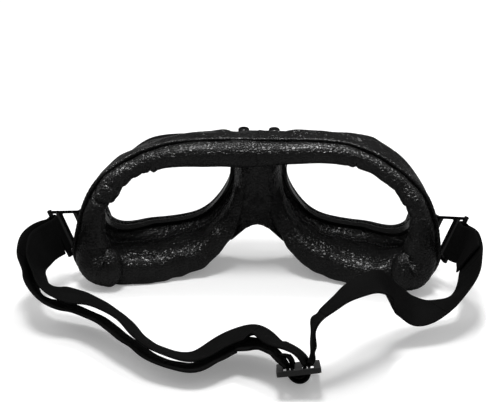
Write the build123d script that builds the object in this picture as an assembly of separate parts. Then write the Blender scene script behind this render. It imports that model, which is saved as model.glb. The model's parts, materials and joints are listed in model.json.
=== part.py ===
from build123d import *
from math import cos, radians, sin, tan
import os

# Aviator goggles standing on their cheek cushions, in millimetres.
# +X is the wearer's right, +Y the way the wearer looks, +Z up.
# Before the last shift the nose is at x = 0, the floor at z = 0 and the face side is towards -Y.

# Eye frame
eye_width = 73.4
eye_height = 53.0
nose_gap = 20.4
frame_lift = 15.0
cup_depth = 43.0
frame_back_share = 0.6628
frame_back = cup_depth * frame_back_share
frame_inner = nose_gap / 2
bend_place_share = 0.6376
bend_place = frame_inner + eye_width * bend_place_share
bend_angle = 38.0
bend_radius = 8.0
frame_overlap = 3.6
outline_steps = 24
foot_steps = 720
frame_outline_shares = [
    (0.00, 0.74), (0.05, 0.975), (0.28, 1.00), (0.60, 0.96), (0.86, 0.76), (1.00, 0.42),
    (0.93, 0.11), (0.72, 0.00), (0.47, 0.025), (0.24, 0.13), (0.07, 0.40),
]

# Layers of the eye frame, back to front
lip_depth = 2.5
lip_width = 1.3
flange_thickness = 1.8
gasket_thickness = 0.6
lens_thickness = 2.0
lens_inset = 1.9
bezel_thickness = 1.4
seat_clearance = 0.05
lug_radius = 2.4
lug_place_shares = (0.735, 0.852)
frame_screw_radius = 0.7
frame_screw_head_radius = 1.3
frame_screw_head_height = 0.8

# Bridge between the eyes
pin_radius = 1.0
pin_head_radius = 2.9
pin_head_height = 1.6
knuckle_radius = 1.8
knuckle_clearance = 0.2
running_clearance = 0.05
pin_place = frame_inner - knuckle_radius - knuckle_clearance * 2
hinge_step = 5.0
hinge_depth = frame_back + hinge_step
bridge_height_shares = (0.5283, 1.0321)
bridge_bottom, bridge_top = [frame_lift + eye_height * share for share in bridge_height_shares]
bridge_knuckle = 5.0
bridge_thickness = 2.2
leaf_thickness = 1.2
leaf_reach = 5.0
leaf_screw_radius = 0.6
leaf_screw_head_radius = 1.1
leaf_screw_head_height = 0.6
leaf_screw_spacing = 8.0
screw_bite = 1.1
head_dome_share = 0.6
bridge_waist_share = 0.72
leaf_root_share = 0.3

# Leather and padding
leather_thickness = 1.8
padding_out = 10.9
half_width = frame_inner + eye_width + padding_out
roll_radius = 6.2
roll_crown_share = 0.9
roll_end_share = 0.62
pad_clearance = 0.3
seam_outer_angle = 68.0
seam_inner_angle = 46.0
nose_pad_lip = 3.0
nose_pad_width_share = 0.5882
nose_pad_width = nose_gap * nose_pad_width_share
nose_arch_shares = (0.6618, 0.2075)
nose_arch_radius = nose_gap * nose_arch_shares[0]
nose_arch_height = frame_lift + eye_height * nose_arch_shares[1]

# Roll centre line: across the frame's width, through the cup's depth and up the frame's height
roll_route_shares = [
    (0.0142, 0.102, 1.0435), (0.2692, 0.081, 1.0435), (0.4945, 0.047, 1.0189), (0.6644, -0.023, 0.9439),
    (0.8009, -0.116, 0.8399), (0.9103, -0.186, 0.7072), (0.9850, -0.244, 0.5469), (1.0326, -0.267, 0.3781),
    (1.0519, -0.279, 0.2077), (1.0455, -0.285, 0.0475), (1.0043, -0.291, -0.0838), (0.9322, -0.293, -0.1459),
]
roll_steps = 14
wall_steps = 12
wall_end_share = 0.84

# Cheek cushion stations: share along the frame outline, then reach out from it and face side, as
# shares of cheek_reach and cup_depth
cheek_reach_share = 1.1333
cheek_reach = frame_lift * cheek_reach_share
cheek_station_shares = [
    (0.876, 0.80, 0.300), (0.848, 0.87, 0.262), (0.812, 0.97, 0.198), (0.776, 1.05, 0.128),
    (0.729, 1.03, 0.023), (0.675, 0.93, -0.070), (0.627, 0.95, -0.093), (0.593, 0.93, -0.090),
    (0.565, 0.80, -0.085),
]
cheek_foot_share = 0.26
cheek_crown_shares = (0.20, 0.62)
cheek_front_drop_share = 0.24
cheek_top_shares = (0.58, 0.42)

# Nose pad sections: height up the frame, width and face side, as shares of eye_height,
# nose_pad_width and cup_depth
nose_pad_shares = [
    (0.1500, 1.55, 0.365), (0.3954, 1.25, 0.315), (0.6119, 1.00, 0.285), (0.9208, 1.00, 0.250),
]
nose_shoulder_shares = (0.74, 0.30)

# Strap loops on the outer ends of the frames
loop_hinge_step = 6.9
loop_hinge_forward = 2.28
loop_hinge_share = 0.217
loop_lean = 20.0
loop_back_angle = 61.0
loop_reach = 19.5
loop_rise = 5.0
loop_bar_length = 27.2
loop_root_length = 16.0
loop_root_share = 0.8
loop_bar_radius = 1.2
loop_bar_width = 2.0
loop_arm_width = 1.7
loop_thickness = 2.2
loop_corner = 0.6
loop_window_root = 4.2
strap_slot_width = 3.2
loop_knuckle = 6.0
ear_knuckle = 3.4
ear_thickness = 1.2
ear_lap = 3.0
ear_edge_shares = (0.472, 0.548)
rivet_place_shares = (0.490, 0.532)
rivet_radius = 0.7
rivet_head_radius = 1.3
rivet_head_height = 0.7
loop_pin_head_shares = (0.6, 1.5)

# Elastic strap
strap_width = 20.0
strap_thickness = 1.5
bend_clearance = 0.15
strap_leg = 3.0
flap_gap = 0.35
flap_stations = 3
strap_steps = 2

# Slider on the strap: three bars, with the strap's sewn end round the middle one
slider_across = 19.6
slider_along = 26.0
slider_thickness = 2.3
slider_centre_bar = 3.4
slider_slot = 5.2
slider_slot_along = 21.2
slider_corner = 2.0
slider_tilt = 25.0
slider_bank = 7.4
slider_place_shares = (0.221, -1.047, 0.098)
tail_bend_gap = 0.45
main_bend_gap = 0.35
bend_leg = 1.4

# Strap runs between the loops and the slider. Each station has x, y and z of the strap's middle as
# shares of half_width, then the heading and the lift of its width in degrees: heading 0 is towards
# -Y and 90 towards +X. The stations go from the loop to the slider.
lower_run_shares = [
    (-1.137, -0.132, 0.289, -75, 68), (-1.176, -0.210, 0.286, -80, 60),
    (-1.188, -0.320, 0.262, -40, 50), (-1.172, -0.392, 0.235, -22, 43),
    (-1.148, -0.458, 0.201, -2, 32), (-1.092, -0.535, 0.176, 5, 26), (-1.019, -0.571, 0.152, 7, 20),
    (-0.945, -0.582, 0.134, 6, 20), (-0.862, -0.610, 0.122, 6, 22), (-0.777, -0.668, 0.116, 6, 23),
    (-0.661, -0.780, 0.106, 5, 24), (-0.551, -0.884, 0.090, 3, 24), (-0.450, -0.960, 0.075, 0, 25),
    (-0.350, -0.995, 0.066, 0, 24), (-0.269, -1.003, 0.066, -3, 20), (-0.210, -0.958, 0.074, -2, 14),
    (-0.139, -0.900, 0.090, 2, 14), (-0.060, -0.872, 0.111, 2, 14), (0.004, -0.902, 0.127, -1, 18),
    (0.057, -0.933, 0.133, -2, 23), (0.094, -0.969, 0.133, -3, 24), (0.121, -1.000, 0.127, -5, 26),
    (0.140, -1.027, 0.120, -5, 28),
]
upper_run_shares = [
    (-1.102, -0.160, 0.291, -80, 68), (-1.137, -0.222, 0.283, -80, 62),
    (-1.151, -0.300, 0.266, -36, 56), (-1.130, -0.390, 0.246, -17, 45),
    (-1.094, -0.456, 0.228, -2, 34), (-1.045, -0.510, 0.212, 3, 20), (-0.969, -0.545, 0.196, 7, 10),
    (-0.886, -0.578, 0.186, 7, 12), (-0.807, -0.612, 0.180, 6, 19), (-0.732, -0.662, 0.174, 6, 22),
    (-0.636, -0.752, 0.162, 6, 23), (-0.541, -0.868, 0.142, 3, 25), (-0.448, -0.935, 0.120, 3, 25),
    (-0.358, -0.958, 0.100, 2, 24), (-0.284, -0.952, 0.092, -1, 20), (-0.216, -0.918, 0.104, 2, 16),
    (-0.143, -0.862, 0.124, 6, 15), (-0.066, -0.834, 0.148, 5, 14), (-0.003, -0.837, 0.165, 2, 15),
    (0.053, -0.867, 0.169, -3, 21), (0.107, -0.926, 0.165, -6, 22), (0.162, -0.957, 0.159, -6, 24),
    (0.209, -0.992, 0.151, -7, 26), (0.237, -1.023, 0.138, -7, 28),
]
right_run_shares = [
    (1.120, -0.143, 0.291, 80, 68), (1.125, -0.212, 0.290, 75, 64), (1.115, -0.314, 0.272, 48, 53),
    (1.090, -0.405, 0.238, 34, 45), (1.048, -0.470, 0.200, 22, 38), (0.978, -0.516, 0.172, 14, 22),
    (0.890, -0.560, 0.156, 6, 0), (0.795, -0.592, 0.170, -6, -14), (0.728, -0.616, 0.232, -12, -4),
    (0.668, -0.658, 0.310, -15, 10), (0.596, -0.735, 0.378, -12, 14), (0.518, -0.812, 0.411, -8, 12),
    (0.444, -0.885, 0.417, -5, 12), (0.388, -0.935, 0.402, -1, 15), (0.342, -0.972, 0.378, 2, 18),
    (0.307, -0.995, 0.349, 3, 21), (0.291, -1.006, 0.307, 4, 21), (0.288, -1.003, 0.246, 4, 24),
    (0.286, -1.008, 0.185, 3, 26), (0.285, -1.021, 0.144, 3, 26),
]
tail_run_shares = [(0.158, -0.999, 0.144, -5, 26), (0.179, -1.016, 0.130, -5, 28)]

# One overrun serves every cut
overrun = 60.0


def across(share):
    """A place across the right eye, from the frame's inner side at 0 to its outer side at 1."""
    return frame_inner + share * eye_width


def up(share):
    """A place up the eye frame, from its bottom at 0 to its top at 1."""
    return frame_lift + share * eye_height


def frame_curve():
    """The frame's outer outline as a closed curve in front view; its second coordinate is height."""
    points = [(across(a), up(b)) for a, b in frame_outline_shares]
    return Spline(*points, periodic=True)


outer_curve = frame_curve()
frame_middle = Vector(frame_inner + eye_width / 2, frame_lift + eye_height / 2)


def outline_place(share):
    """A place on the frame outline in front view, and its direction away from the eye."""
    at = outer_curve.position_at(share)
    along = outer_curve.tangent_at(share)
    out = Vector(along.Y, -along.X).normalized()
    return at, out if out.dot(at - frame_middle) > 0 else -out


def flat_frame(inset):
    """The frame outline in front view, moved inwards by inset, on the plane of X and Z."""
    places = [outline_place(k / outline_steps) for k in range(outline_steps)]
    inner_curve = Spline(*[at - out * inset for at, out in places], periodic=True)
    return Plane.XZ * make_face(inner_curve if inset else outer_curve)


def through(face):
    """A prism through the whole depth of the goggles."""
    return extrude(face, amount=overrun, both=True)


def bent_line(step):
    """The bent line of the frame in plan, moved step forwards square to itself."""
    turn = radians(bend_angle)
    corner = Vector(bend_place + step * tan(turn / 2), frame_back + step)
    far = corner + Vector(cos(turn), -sin(turn)) * overrun
    near = Vector(-overrun, frame_back + step)
    return near, far, FilletPolyline(near, corner, far, radius=bend_radius + step)


def bent_layer(back, front):
    """A layer of the bent frame between two distances from its back plane, over its whole height."""
    near_back, far_back, line_back = bent_line(back)
    near_front, far_front, line_front = bent_line(front)
    face = make_face([line_back, line_front, Line(near_back, near_front), Line(far_back, far_front)])
    return extrude(face, amount=overrun * 2, both=True)


def behind_frame():
    """All the space behind the frame's back plane, less the clearance of the leather."""
    near, far, line = bent_line(-pad_clearance)
    corners = [far, Vector(far.X, -overrun), Vector(near.X, -overrun), near]
    face = make_face([line, Polyline(*corners)])
    return extrude(face, amount=overrun * 2, both=True)


def frame_back_at(x):
    """How far forward the frame's back plane lies at a place across the eye."""
    return frame_back - max(x - bend_place, 0) * tan(radians(bend_angle))


def ring(outer, inner, back, front):
    """A ring of the bent frame between two insets of its outline."""
    return (through(flat_frame(outer)) - through(flat_frame(inner))) & bent_layer(back, front)


flange_front = flange_thickness
gasket_front = flange_front + gasket_thickness
lens_front = gasket_front + lens_thickness
bezel_back = lens_front + seat_clearance
bezel_front = bezel_back + bezel_thickness


def lug_places():
    """Where the screw lugs stand on the outline, in front view, outside the lens."""
    places = []
    for share in lug_place_shares:
        at, out = outline_place(share)
        places.append(at + out * (lug_radius - lens_inset) / 2)
    return places


def round_bars(places, radius, back, front):
    """Round bars along Y at places in front view, between two distances from the frame's back."""
    bars = []
    for place in places:
        start = Plane(origin=(place.X, frame_back + back, place.Y), z_dir=(0, 1, 0))
        bars.append(extrude(start * Circle(radius), amount=front - back))
    return bars


def eye_frame():
    """Flange that the leather and the lens seat on, with its lip towards the eye and its lugs."""
    lip_outer = frame_overlap - lip_width
    shell = ring(0, frame_overlap, 0, flange_front) + ring(lip_outer, frame_overlap, -lip_depth, 0)
    shell += round_bars(lug_places(), lug_radius, 0, flange_front)
    for bar in round_bars(lug_places(), frame_screw_radius, 0, flange_front):
        shell -= bar
    return shell


def bezel():
    """Front ring with a skirt around the lens, clamped to the flange by screws in the lugs."""
    skirt = ring(0, lens_inset - seat_clearance, flange_front + seat_clearance, bezel_back)
    face = ring(0, frame_overlap, bezel_back, bezel_front)
    lugs = round_bars(lug_places(), lug_radius, flange_front + seat_clearance, bezel_front)
    lens_space = through(flat_frame(lens_inset - seat_clearance))
    body = skirt + face
    for lug in lugs:
        body += lug - (lens_space & bent_layer(0, bezel_back))
    body -= through(flat_frame(frame_overlap))
    for bar in round_bars(lug_places(), frame_screw_radius, 0, bezel_front):
        body -= bar
    for bar in round_bars(leaf_screw_places(), leaf_screw_radius, bezel_front - screw_bite, bezel_front):
        body -= bar
    for bar in ear_bars(rivet_radius, -screw_bite - seat_clearance, overrun):
        body -= bar
    return body


def gasket():
    """Rubber ring between the flange and the lens."""
    return ring(lens_inset, frame_overlap, flange_front, gasket_front)


def lens():
    """Clear lens, bent with the frame."""
    return through(flat_frame(lens_inset)) & bent_layer(gasket_front, lens_front)


def bezel_screws():
    """Screws of the two lugs, with domed heads on the bezel."""
    screws = []
    for place in lug_places():
        shank = round_bars([place], frame_screw_radius - seat_clearance / 2, seat_clearance, bezel_front)[0]
        screws.append(shank + screw_head(place, frame_screw_head_radius, frame_screw_head_height))
    return Compound(children=screws)


def screw_head(place, radius, height):
    """A low domed head that stands on the front of the bezel."""
    start = Plane(origin=(place.X, frame_back + bezel_front, place.Y), z_dir=(0, 1, 0))
    head = extrude(start * Circle(radius), amount=height)
    return fillet(head.edges().sort_by(Axis.Y)[-1], height * head_dome_share)


def upright(radius, x, y, bottom, top):
    """A round bar that stands upright."""
    return extrude(Plane(origin=(x, y, bottom)) * Circle(radius), amount=top - bottom)


bridge_leaf_top = bridge_top - bridge_knuckle - knuckle_clearance
bridge_leaf_bottom = bridge_bottom + bridge_knuckle + knuckle_clearance


def bridge_plate():
    """Waisted plate with two knuckles at each side, one above and one below the frame's leaf."""
    room = pin_place - knuckle_radius - knuckle_clearance
    half = bridge_thickness / 2
    middle = (bridge_top + bridge_bottom) / 2
    waist = room * bridge_waist_share
    edge = [
        Line((room, bridge_bottom), (room, bridge_leaf_bottom)),
        ThreePointArc((room, bridge_leaf_bottom), (waist, middle), (room, bridge_leaf_top)),
        Line((room, bridge_leaf_top), (room, bridge_top)),
    ]
    other = [mirror(e, about=Plane.YZ) for e in edge]
    ends = [
        Line((room, bridge_top), (-room, bridge_top)),
        ThreePointArc((-room, bridge_bottom), (0, bridge_bottom + bridge_knuckle / 2), (room, bridge_bottom)),
    ]
    plate = extrude(Plane.XZ * make_face(edge + other + ends), amount=half, both=True)
    plate = Pos(0, hinge_depth, 0) * plate
    for side in (-1, 1):
        for bottom in (bridge_bottom, bridge_top - bridge_knuckle):
            knuckle = upright(knuckle_radius, side * pin_place, hinge_depth, bottom, bottom + bridge_knuckle)
            web = Pos(side * (room + pin_place) / 2, hinge_depth, bottom + bridge_knuckle / 2)
            plate += knuckle + web * Box(pin_place - room, bridge_thickness, bridge_knuckle)
    for side in (-1, 1):
        bore = upright(pin_radius + running_clearance, side * pin_place, hinge_depth, 0, bridge_top + overrun)
        plate -= bore
    return plate


def bridge_pin():
    """Upright hinge pin with a large domed head above and a small riveted end below."""
    shank = upright(pin_radius, pin_place, hinge_depth, bridge_bottom - pin_head_height / 2, bridge_top)
    head = upright(pin_head_radius, pin_place, hinge_depth, bridge_top, bridge_top + pin_head_height)
    head = fillet(head.edges().sort_by(Axis.Z)[-1], pin_head_height / 2)
    end = upright(knuckle_radius, pin_place, hinge_depth, bridge_bottom - pin_head_height / 2, bridge_bottom)
    return shank + head + end


def hinge_leaf():
    """Leaf of the eye frame: a knuckle on the pin and a plate screwed on the front of the bezel."""
    front = frame_back + bezel_front
    inner = pin_place - knuckle_radius * leaf_root_share
    outer = frame_inner - knuckle_clearance * 2
    step = front + seat_clearance
    reach = frame_inner + leaf_reach
    points = [
        (inner, hinge_depth), (outer, hinge_depth), (outer, step), (reach, step),
        (reach, step + leaf_thickness), (inner, step + leaf_thickness),
    ]
    height = bridge_leaf_top - bridge_leaf_bottom
    base = Plane(origin=(0, 0, bridge_leaf_bottom))
    leaf = extrude(base * make_face(Polyline(*points, close=True)), amount=height)
    leaf += upright(knuckle_radius, pin_place, hinge_depth, bridge_leaf_bottom, bridge_leaf_top)
    bore = upright(pin_radius + running_clearance, pin_place, hinge_depth, 0, bridge_top + overrun)
    leaf = fillet(leaf.edges().filter_by(Axis.Y).group_by(Axis.X)[-1], leaf_reach / 4)
    for place in leaf_screw_places():
        leaf -= round_bars([place], leaf_screw_radius, 0, bezel_front + overrun)[0]
    return leaf - bore


def leaf_screw_places():
    """Where the leaf's two screws go, in front view."""
    middle = (bridge_leaf_top + bridge_leaf_bottom) / 2
    place = frame_inner + frame_overlap / 2 + leaf_screw_radius / 2
    return [Vector(place, middle + side * leaf_screw_spacing / 2) for side in (-1, 1)]


def leaf_screws():
    """Two small screws that hold the leaf on the bezel and end in its thickness."""
    front = frame_back + bezel_front
    back = bezel_front - screw_bite
    top = seat_clearance + leaf_thickness
    screws = []
    for place in leaf_screw_places():
        shank = round_bars([place], leaf_screw_radius - seat_clearance / 2, back, bezel_front + top)[0]
        start = Plane(origin=(place.X, front + top, place.Y), z_dir=(0, 1, 0))
        head = extrude(start * Circle(leaf_screw_head_radius), amount=leaf_screw_head_height)
        screws.append(shank + fillet(head.edges().sort_by(Axis.Y)[-1], leaf_screw_head_height / 2))
    return Compound(children=screws)


roll_curve = Spline(
    *[(across(a), b * cup_depth, up(c)) for a, b, c in roll_route_shares]
)


def roll_place(share):
    """A place on the roll's route and the direction in front view away from the eye."""
    at = roll_curve.position_at(share)
    along = roll_curve.tangent_at(share)
    return at, Vector(-along.Z, 0, along.X).normalized()


def padding_plane(x, z, out):
    """Plane across the padding: its x runs away from the eye and its y forwards."""
    return Plane(origin=(x, 0, z), x_dir=out, z_dir=out.cross(Vector(0, 1, 0)))


def roll_section(plane, depth, radius):
    """Round section of the roll with a slightly flatter crown on the face side."""
    crown = radius * roll_crown_share
    slope = radius * sin(radians(45))
    flat_slope = crown * sin(radians(45))
    arcs = [
        ThreePointArc((radius, depth), (slope, depth + slope), (0, depth + radius)),
        ThreePointArc((0, depth + radius), (-slope, depth + slope), (-radius, depth)),
        ThreePointArc((-radius, depth), (-slope, depth - flat_slope), (0, depth - crown)),
        ThreePointArc((0, depth - crown), (slope, depth - flat_slope), (radius, depth)),
    ]
    return plane * make_face(arcs)


def face_roll():
    """Padded roll along the brow and down the temple, drawn in at its lower end."""
    sections = []
    for k in range(roll_steps + 1):
        at, out = roll_place(k / roll_steps)
        radius = roll_radius * (roll_end_share if k == roll_steps else 1)
        sections.append(roll_section(padding_plane(at.X, at.Z, out), at.Y, radius))
    return loft(sections)


def frame_foot(x, z, out):
    """Distance from a roll centre back to the frame outline, measured along out."""
    step = outer_curve.length / foot_steps
    feet = []
    for k in range(foot_steps):
        at = outer_curve.position_at(k / foot_steps)
        gap = Vector(at.X - x, 0, at.Y - z)
        along = gap.dot(out)
        if (gap - out * along).length < step and along < roll_radius:
            feet.append(along)
    return max(feet)


def on_roll(depth, angle):
    """A point just clear of the roll, at an angle from forwards to outwards."""
    reach = roll_radius + pad_clearance * 2
    return reach * sin(radians(angle)), depth + reach * cos(radians(angle))


def wall_section(plane, foot, depth):
    """Leather wall from the frame's back to the seam on the roll."""
    front = frame_back + flange_front
    seam = [on_roll(depth, angle) for angle in (seam_outer_angle, seam_inner_angle)]
    corners = [(foot, front), *seam, (foot - leather_thickness, front)]
    return plane * make_face(Polyline(*corners, close=True))


def side_wall():
    """Leather wall over the brow and down the temple, trimmed to the bent frame."""
    sections = []
    for k in range(wall_steps + 1):
        at, out = roll_place(wall_end_share * k / wall_steps)
        sections.append(wall_section(padding_plane(at.X, at.Z, out), frame_foot(at.X, at.Z, out), at.Y))
    return loft(sections) & behind_frame()


def cheek_section(share, reach, face_side):
    """Thick cushion from the frame's lower edge back to its rounded face side and down to the floor."""
    at, way = outline_place(share)
    plane = padding_plane(at.X, at.Y, Vector(way.X, 0, way.Y))
    back = frame_back_at(at.X)
    front = frame_back + flange_front
    drop = (back - face_side) * cheek_front_drop_share
    inner = -leather_thickness
    crown, belly = cheek_crown_shares
    top_reach, top_drop = cheek_top_shares
    foot = face_side + (back - face_side) * cheek_foot_share
    step = pad_clearance * 3
    low_front = (reach, back - drop)
    edges = [
        Line((inner, front), (0, front)),
        Line((0, front), (0, back - step)),
        ThreePointArc((0, back - step), (reach * top_reach, back - drop * top_drop), low_front),
        Line(low_front, (reach, foot)),
        ThreePointArc((reach, foot), (reach * belly, face_side), (reach * crown, foot)),
        Line((reach * crown, foot), (inner, back - drop)),
        Line((inner, back - drop), (inner, front)),
    ]
    return plane * make_face(edges)


def cheek_cushion():
    """Cheek cushion under the eye, flat where it stands."""
    sections = []
    for share, reach, face_side in cheek_station_shares:
        sections.append(cheek_section(share, reach * cheek_reach, face_side * cup_depth))
    floor = Pos(half_width / 2, 0, -overrun / 2) * Box(half_width * 2, overrun * 4, overrun)
    return (loft(sections) - floor) & behind_frame()


def nose_section(height, width, face_side):
    """Section of the nose pad: flat in front, with lips at its sides and a rounded face side."""
    front = frame_back - pad_clearance
    shoulder_width, shoulder_depth = nose_shoulder_shares
    side = front - nose_pad_lip
    depth = face_side + (side - face_side) * shoulder_depth
    edges = [
        Line((-width, front), (width, front)),
        Line((width, front), (width, side)),
        ThreePointArc((width, side), (width * shoulder_width, depth), (0, face_side)),
        ThreePointArc((0, face_side), (-width * shoulder_width, depth), (-width, side)),
        Line((-width, side), (-width, front)),
    ]
    return Plane(origin=(0, 0, height)) * make_face(edges)


def flank():
    """Space that the right cheek cushion takes beside the nose pad, with the pad's clearance."""
    at, way = outline_place(cheek_station_shares[0][0])
    down = Vector(-way.Y, 0, way.X)
    if down.Z > 0:
        down = -down
    start = Vector(at.X, 0, at.Y) - down * pad_clearance
    plane = Plane(origin=start, x_dir=Vector(way.X, 0, way.Y), z_dir=down)
    return extrude(plane * Rectangle(overrun * 2, overrun * 2), amount=overrun)


def nose_pad():
    """Leather-covered pad between the eyes, arched over the nose."""
    sections = []
    for height, width, face_side in nose_pad_shares:
        section = nose_section(up(height), width * nose_pad_width, face_side * cup_depth)
        sections.append(section)
    pad = loft(sections)
    centre = nose_arch_height - nose_arch_radius
    arch = extrude(Plane.XZ * (Pos(0, centre) * Circle(nose_arch_radius)), amount=overrun, both=True)
    return pad - arch - flank() - mirror(flank(), about=Plane.YZ)


def brow_pad():
    """Middle of the roll, between the two eyes."""
    first = roll_curve.position_at(0)
    end = first.X - pad_clearance
    out = Vector(0, 0, 1)
    sections = []
    for x in (-end, end):
        sections.append(roll_section(padding_plane(x, first.Z, out), first.Y, roll_radius))
    return loft(sections)


def brow_band():
    """Middle of the leather wall, from the bridge back to the seam on the brow pad."""
    first = roll_curve.position_at(0)
    end = first.X - pad_clearance
    foot = frame_lift + eye_height - first.Z
    out = Vector(0, 0, 1)
    sections = []
    for x in (-end, end):
        sections.append(wall_section(padding_plane(x, first.Z, out), foot, first.Y))
    return loft(sections)


loop_axis = Vector(sin(radians(loop_lean)), 0, cos(radians(loop_lean)))
loop_back = Vector(cos(radians(loop_back_angle)), -sin(radians(loop_back_angle)), 0)
loop_out = (loop_back - loop_axis * loop_back.dot(loop_axis)).normalized()
frame_outer = frame_inner + eye_width
loop_hinge_depth = frame_back_at(frame_outer) + loop_hinge_forward
loop_hinge_height = frame_lift + eye_height * loop_hinge_share
loop_hinge = Vector(frame_outer + loop_hinge_step, loop_hinge_depth, loop_hinge_height)
loop_plane = Plane(origin=loop_hinge, x_dir=loop_out, z_dir=loop_out.cross(loop_axis))
loop_bar = loop_hinge + loop_out * loop_reach + loop_axis * loop_rise


def along_loop(radius, reach, middle, length):
    """A round bar beside the loop's hinge axis, at a reach from it and centred at middle."""
    start = loop_hinge + loop_out * reach + loop_axis * (middle - length / 2)
    return extrude(Plane(origin=start, z_dir=loop_axis) * Circle(radius), amount=length)


def strap_loop():
    """Cast loop: a knuckle, two flared arms, an inner bar with a window and a round strap bar."""
    root = knuckle_radius * loop_root_share
    half_root = loop_root_length / 2
    half_bar = loop_bar_length / 2
    outline = Polyline(
        (root, -half_root), (loop_reach, loop_rise - half_bar), (loop_reach, loop_rise + half_bar),
        (root, half_root), close=True,
    )
    body = make_face(outline)
    inner_bar = loop_reach - loop_bar_radius - strap_slot_width
    grow_low = (loop_rise - half_bar + half_root) / (loop_reach - root)
    grow_high = (loop_rise + half_bar - half_root) / (loop_reach - root)

    def opening(start, end):
        """The space between the two arms, from one reach to another."""
        low = [-half_root + loop_arm_width + grow_low * (reach - root) for reach in (start, end)]
        high = [half_root - loop_arm_width + grow_high * (reach - root) for reach in (start, end)]
        corners = [(start, low[0]), (end, low[1]), (end, high[1]), (start, high[0])]
        return make_face(Polyline(*corners, close=True))

    body -= opening(loop_window_root, inner_bar - loop_bar_width)
    body -= opening(inner_bar, loop_reach)
    loop = extrude(loop_plane * body, amount=loop_thickness / 2, both=True)
    loop = fillet(loop.edges().filter_by(Axis((0, 0, 0), loop_plane.z_dir)), loop_corner)
    loop += along_loop(loop_bar_radius, loop_reach, loop_rise, loop_bar_length)
    loop += along_loop(knuckle_radius, 0, 0, loop_knuckle)
    gap_length = ear_knuckle + knuckle_clearance * 2 + overrun
    for side in (-1, 1):
        middle = side * (loop_knuckle + gap_length) / 2
        loop -= along_loop(knuckle_radius + knuckle_clearance, 0, middle, gap_length)
    return loop - along_loop(pin_radius + running_clearance, 0, 0, overrun)


def ear_plane():
    """Plane on the front of the bezel's outer facet: x runs outwards, y up, and z backwards."""
    turn = radians(bend_angle)
    step = bezel_front + seat_clearance
    corner = Vector(bend_place + step * tan(turn / 2), frame_back + step)
    run = (frame_outer - corner.X) / cos(turn)
    at = corner + Vector(cos(turn), -sin(turn)) * run
    outwards = Vector(cos(turn), -sin(turn), 0)
    backwards = Vector(-sin(turn), -cos(turn), 0)
    return Plane(origin=(at.X, at.Y, loop_hinge_height), x_dir=outwards, z_dir=backwards)


def on_ear(share, inset):
    """A place in the ear's plane that lies over the frame outline, moved inwards by inset."""
    at, out = outline_place(share)
    plane = ear_plane()
    place = at - out * inset
    return (place.X - plane.origin.X) / plane.x_dir.X, place.Y - loop_hinge_height


def strap_ear():
    """Bracket riveted on the bezel, with two knuckles around the loop's knuckle."""
    plane = ear_plane()
    half = loop_axis * (loop_knuckle / 2 + knuckle_clearance + ear_knuckle)
    upper, lower = [plane.to_local_coords(end) for end in (loop_hinge + half, loop_hinge - half)]
    top, low = ear_edge_shares
    points = [
        on_ear(top, ear_lap), on_ear(top, -pad_clearance), (upper.X, upper.Y),
        (lower.X, lower.Y), on_ear(low, -pad_clearance), on_ear(low, ear_lap),
    ]
    ear = extrude(plane * make_face(Polyline(*points, close=True)), amount=-ear_thickness)
    ear = fillet(ear.edges().filter_by(Axis((0, 0, 0), plane.z_dir)).group_by(Axis.X)[0], ear_lap / 4)
    for side in (-1, 1):
        middle = side * (loop_knuckle / 2 + knuckle_clearance + ear_knuckle / 2)
        ear += along_loop(knuckle_radius, 0, middle, ear_knuckle)
    room = loop_knuckle + knuckle_clearance * 2
    ear -= along_loop(knuckle_radius + knuckle_clearance, 0, 0, room)
    ear -= along_loop(pin_radius + running_clearance, 0, 0, overrun)
    for bar in ear_bars(rivet_radius, -overrun, overrun):
        ear -= bar
    return ear


def ear_bars(radius, start, end):
    """Round bars square to the bezel's outer facet, at the ear's rivets; distances run forwards."""
    plane = ear_plane()
    bars = []
    for share in rivet_place_shares:
        at = plane.from_local_coords(Vector(*on_ear(share, lens_inset / 2), -start))
        bars.append(extrude(Plane(origin=at, z_dir=-plane.z_dir) * Circle(radius), amount=end - start))
    return bars


def ear_rivets():
    """Two rivets through the ear into the bezel, each with a low head."""
    shanks = ear_bars(rivet_radius - seat_clearance / 2, -screw_bite, ear_thickness)
    heads = ear_bars(rivet_head_radius, ear_thickness, ear_thickness + rivet_head_height)
    rivets = []
    for shank, head in zip(shanks, heads):
        rim = head.edges().filter_by(GeomType.CIRCLE).sort_by(Axis((0, 0, 0), -ear_plane().z_dir))[-1]
        rivets.append(shank + fillet(rim, rivet_head_height * head_dome_share))
    return Compound(children=rivets)


def loop_pin():
    """Pin of the loop's hinge, with a head at each end."""
    half = loop_knuckle / 2 + knuckle_clearance + ear_knuckle
    head, head_radius = [pin_radius * share for share in loop_pin_head_shares]
    pin = along_loop(pin_radius, 0, 0, half * 2)
    for side in (-1, 1):
        pin += along_loop(head_radius, 0, side * (half + head / 2), head)
    return pin


bend_inner = loop_bar_radius + bend_clearance
bend_outer = bend_inner + strap_thickness


def strap_bend():
    """The strap's turn round the loop's bar, with a short straight leg on each side."""
    edges = [
        Line((strap_leg, bend_inner), (0, bend_inner)),
        ThreePointArc((0, bend_inner), (-bend_inner, 0), (0, -bend_inner)),
        Line((0, -bend_inner), (strap_leg, -bend_inner)),
        Line((strap_leg, -bend_inner), (strap_leg, -bend_outer)),
        Line((strap_leg, -bend_outer), (0, -bend_outer)),
        ThreePointArc((0, -bend_outer), (-bend_outer, 0), (0, bend_outer)),
        Line((0, bend_outer), (strap_leg, bend_outer)),
        Line((strap_leg, bend_outer), (strap_leg, bend_inner)),
    ]
    start = loop_bar - loop_axis * strap_width / 2
    plane = Plane(origin=start, x_dir=loop_out, z_dir=loop_axis)
    return extrude(plane * make_face(edges), amount=strap_width)


def mirrored(vector):
    """A vector seen in the mirror between the eyes."""
    return Vector(-vector.X, vector.Y, vector.Z)


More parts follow.
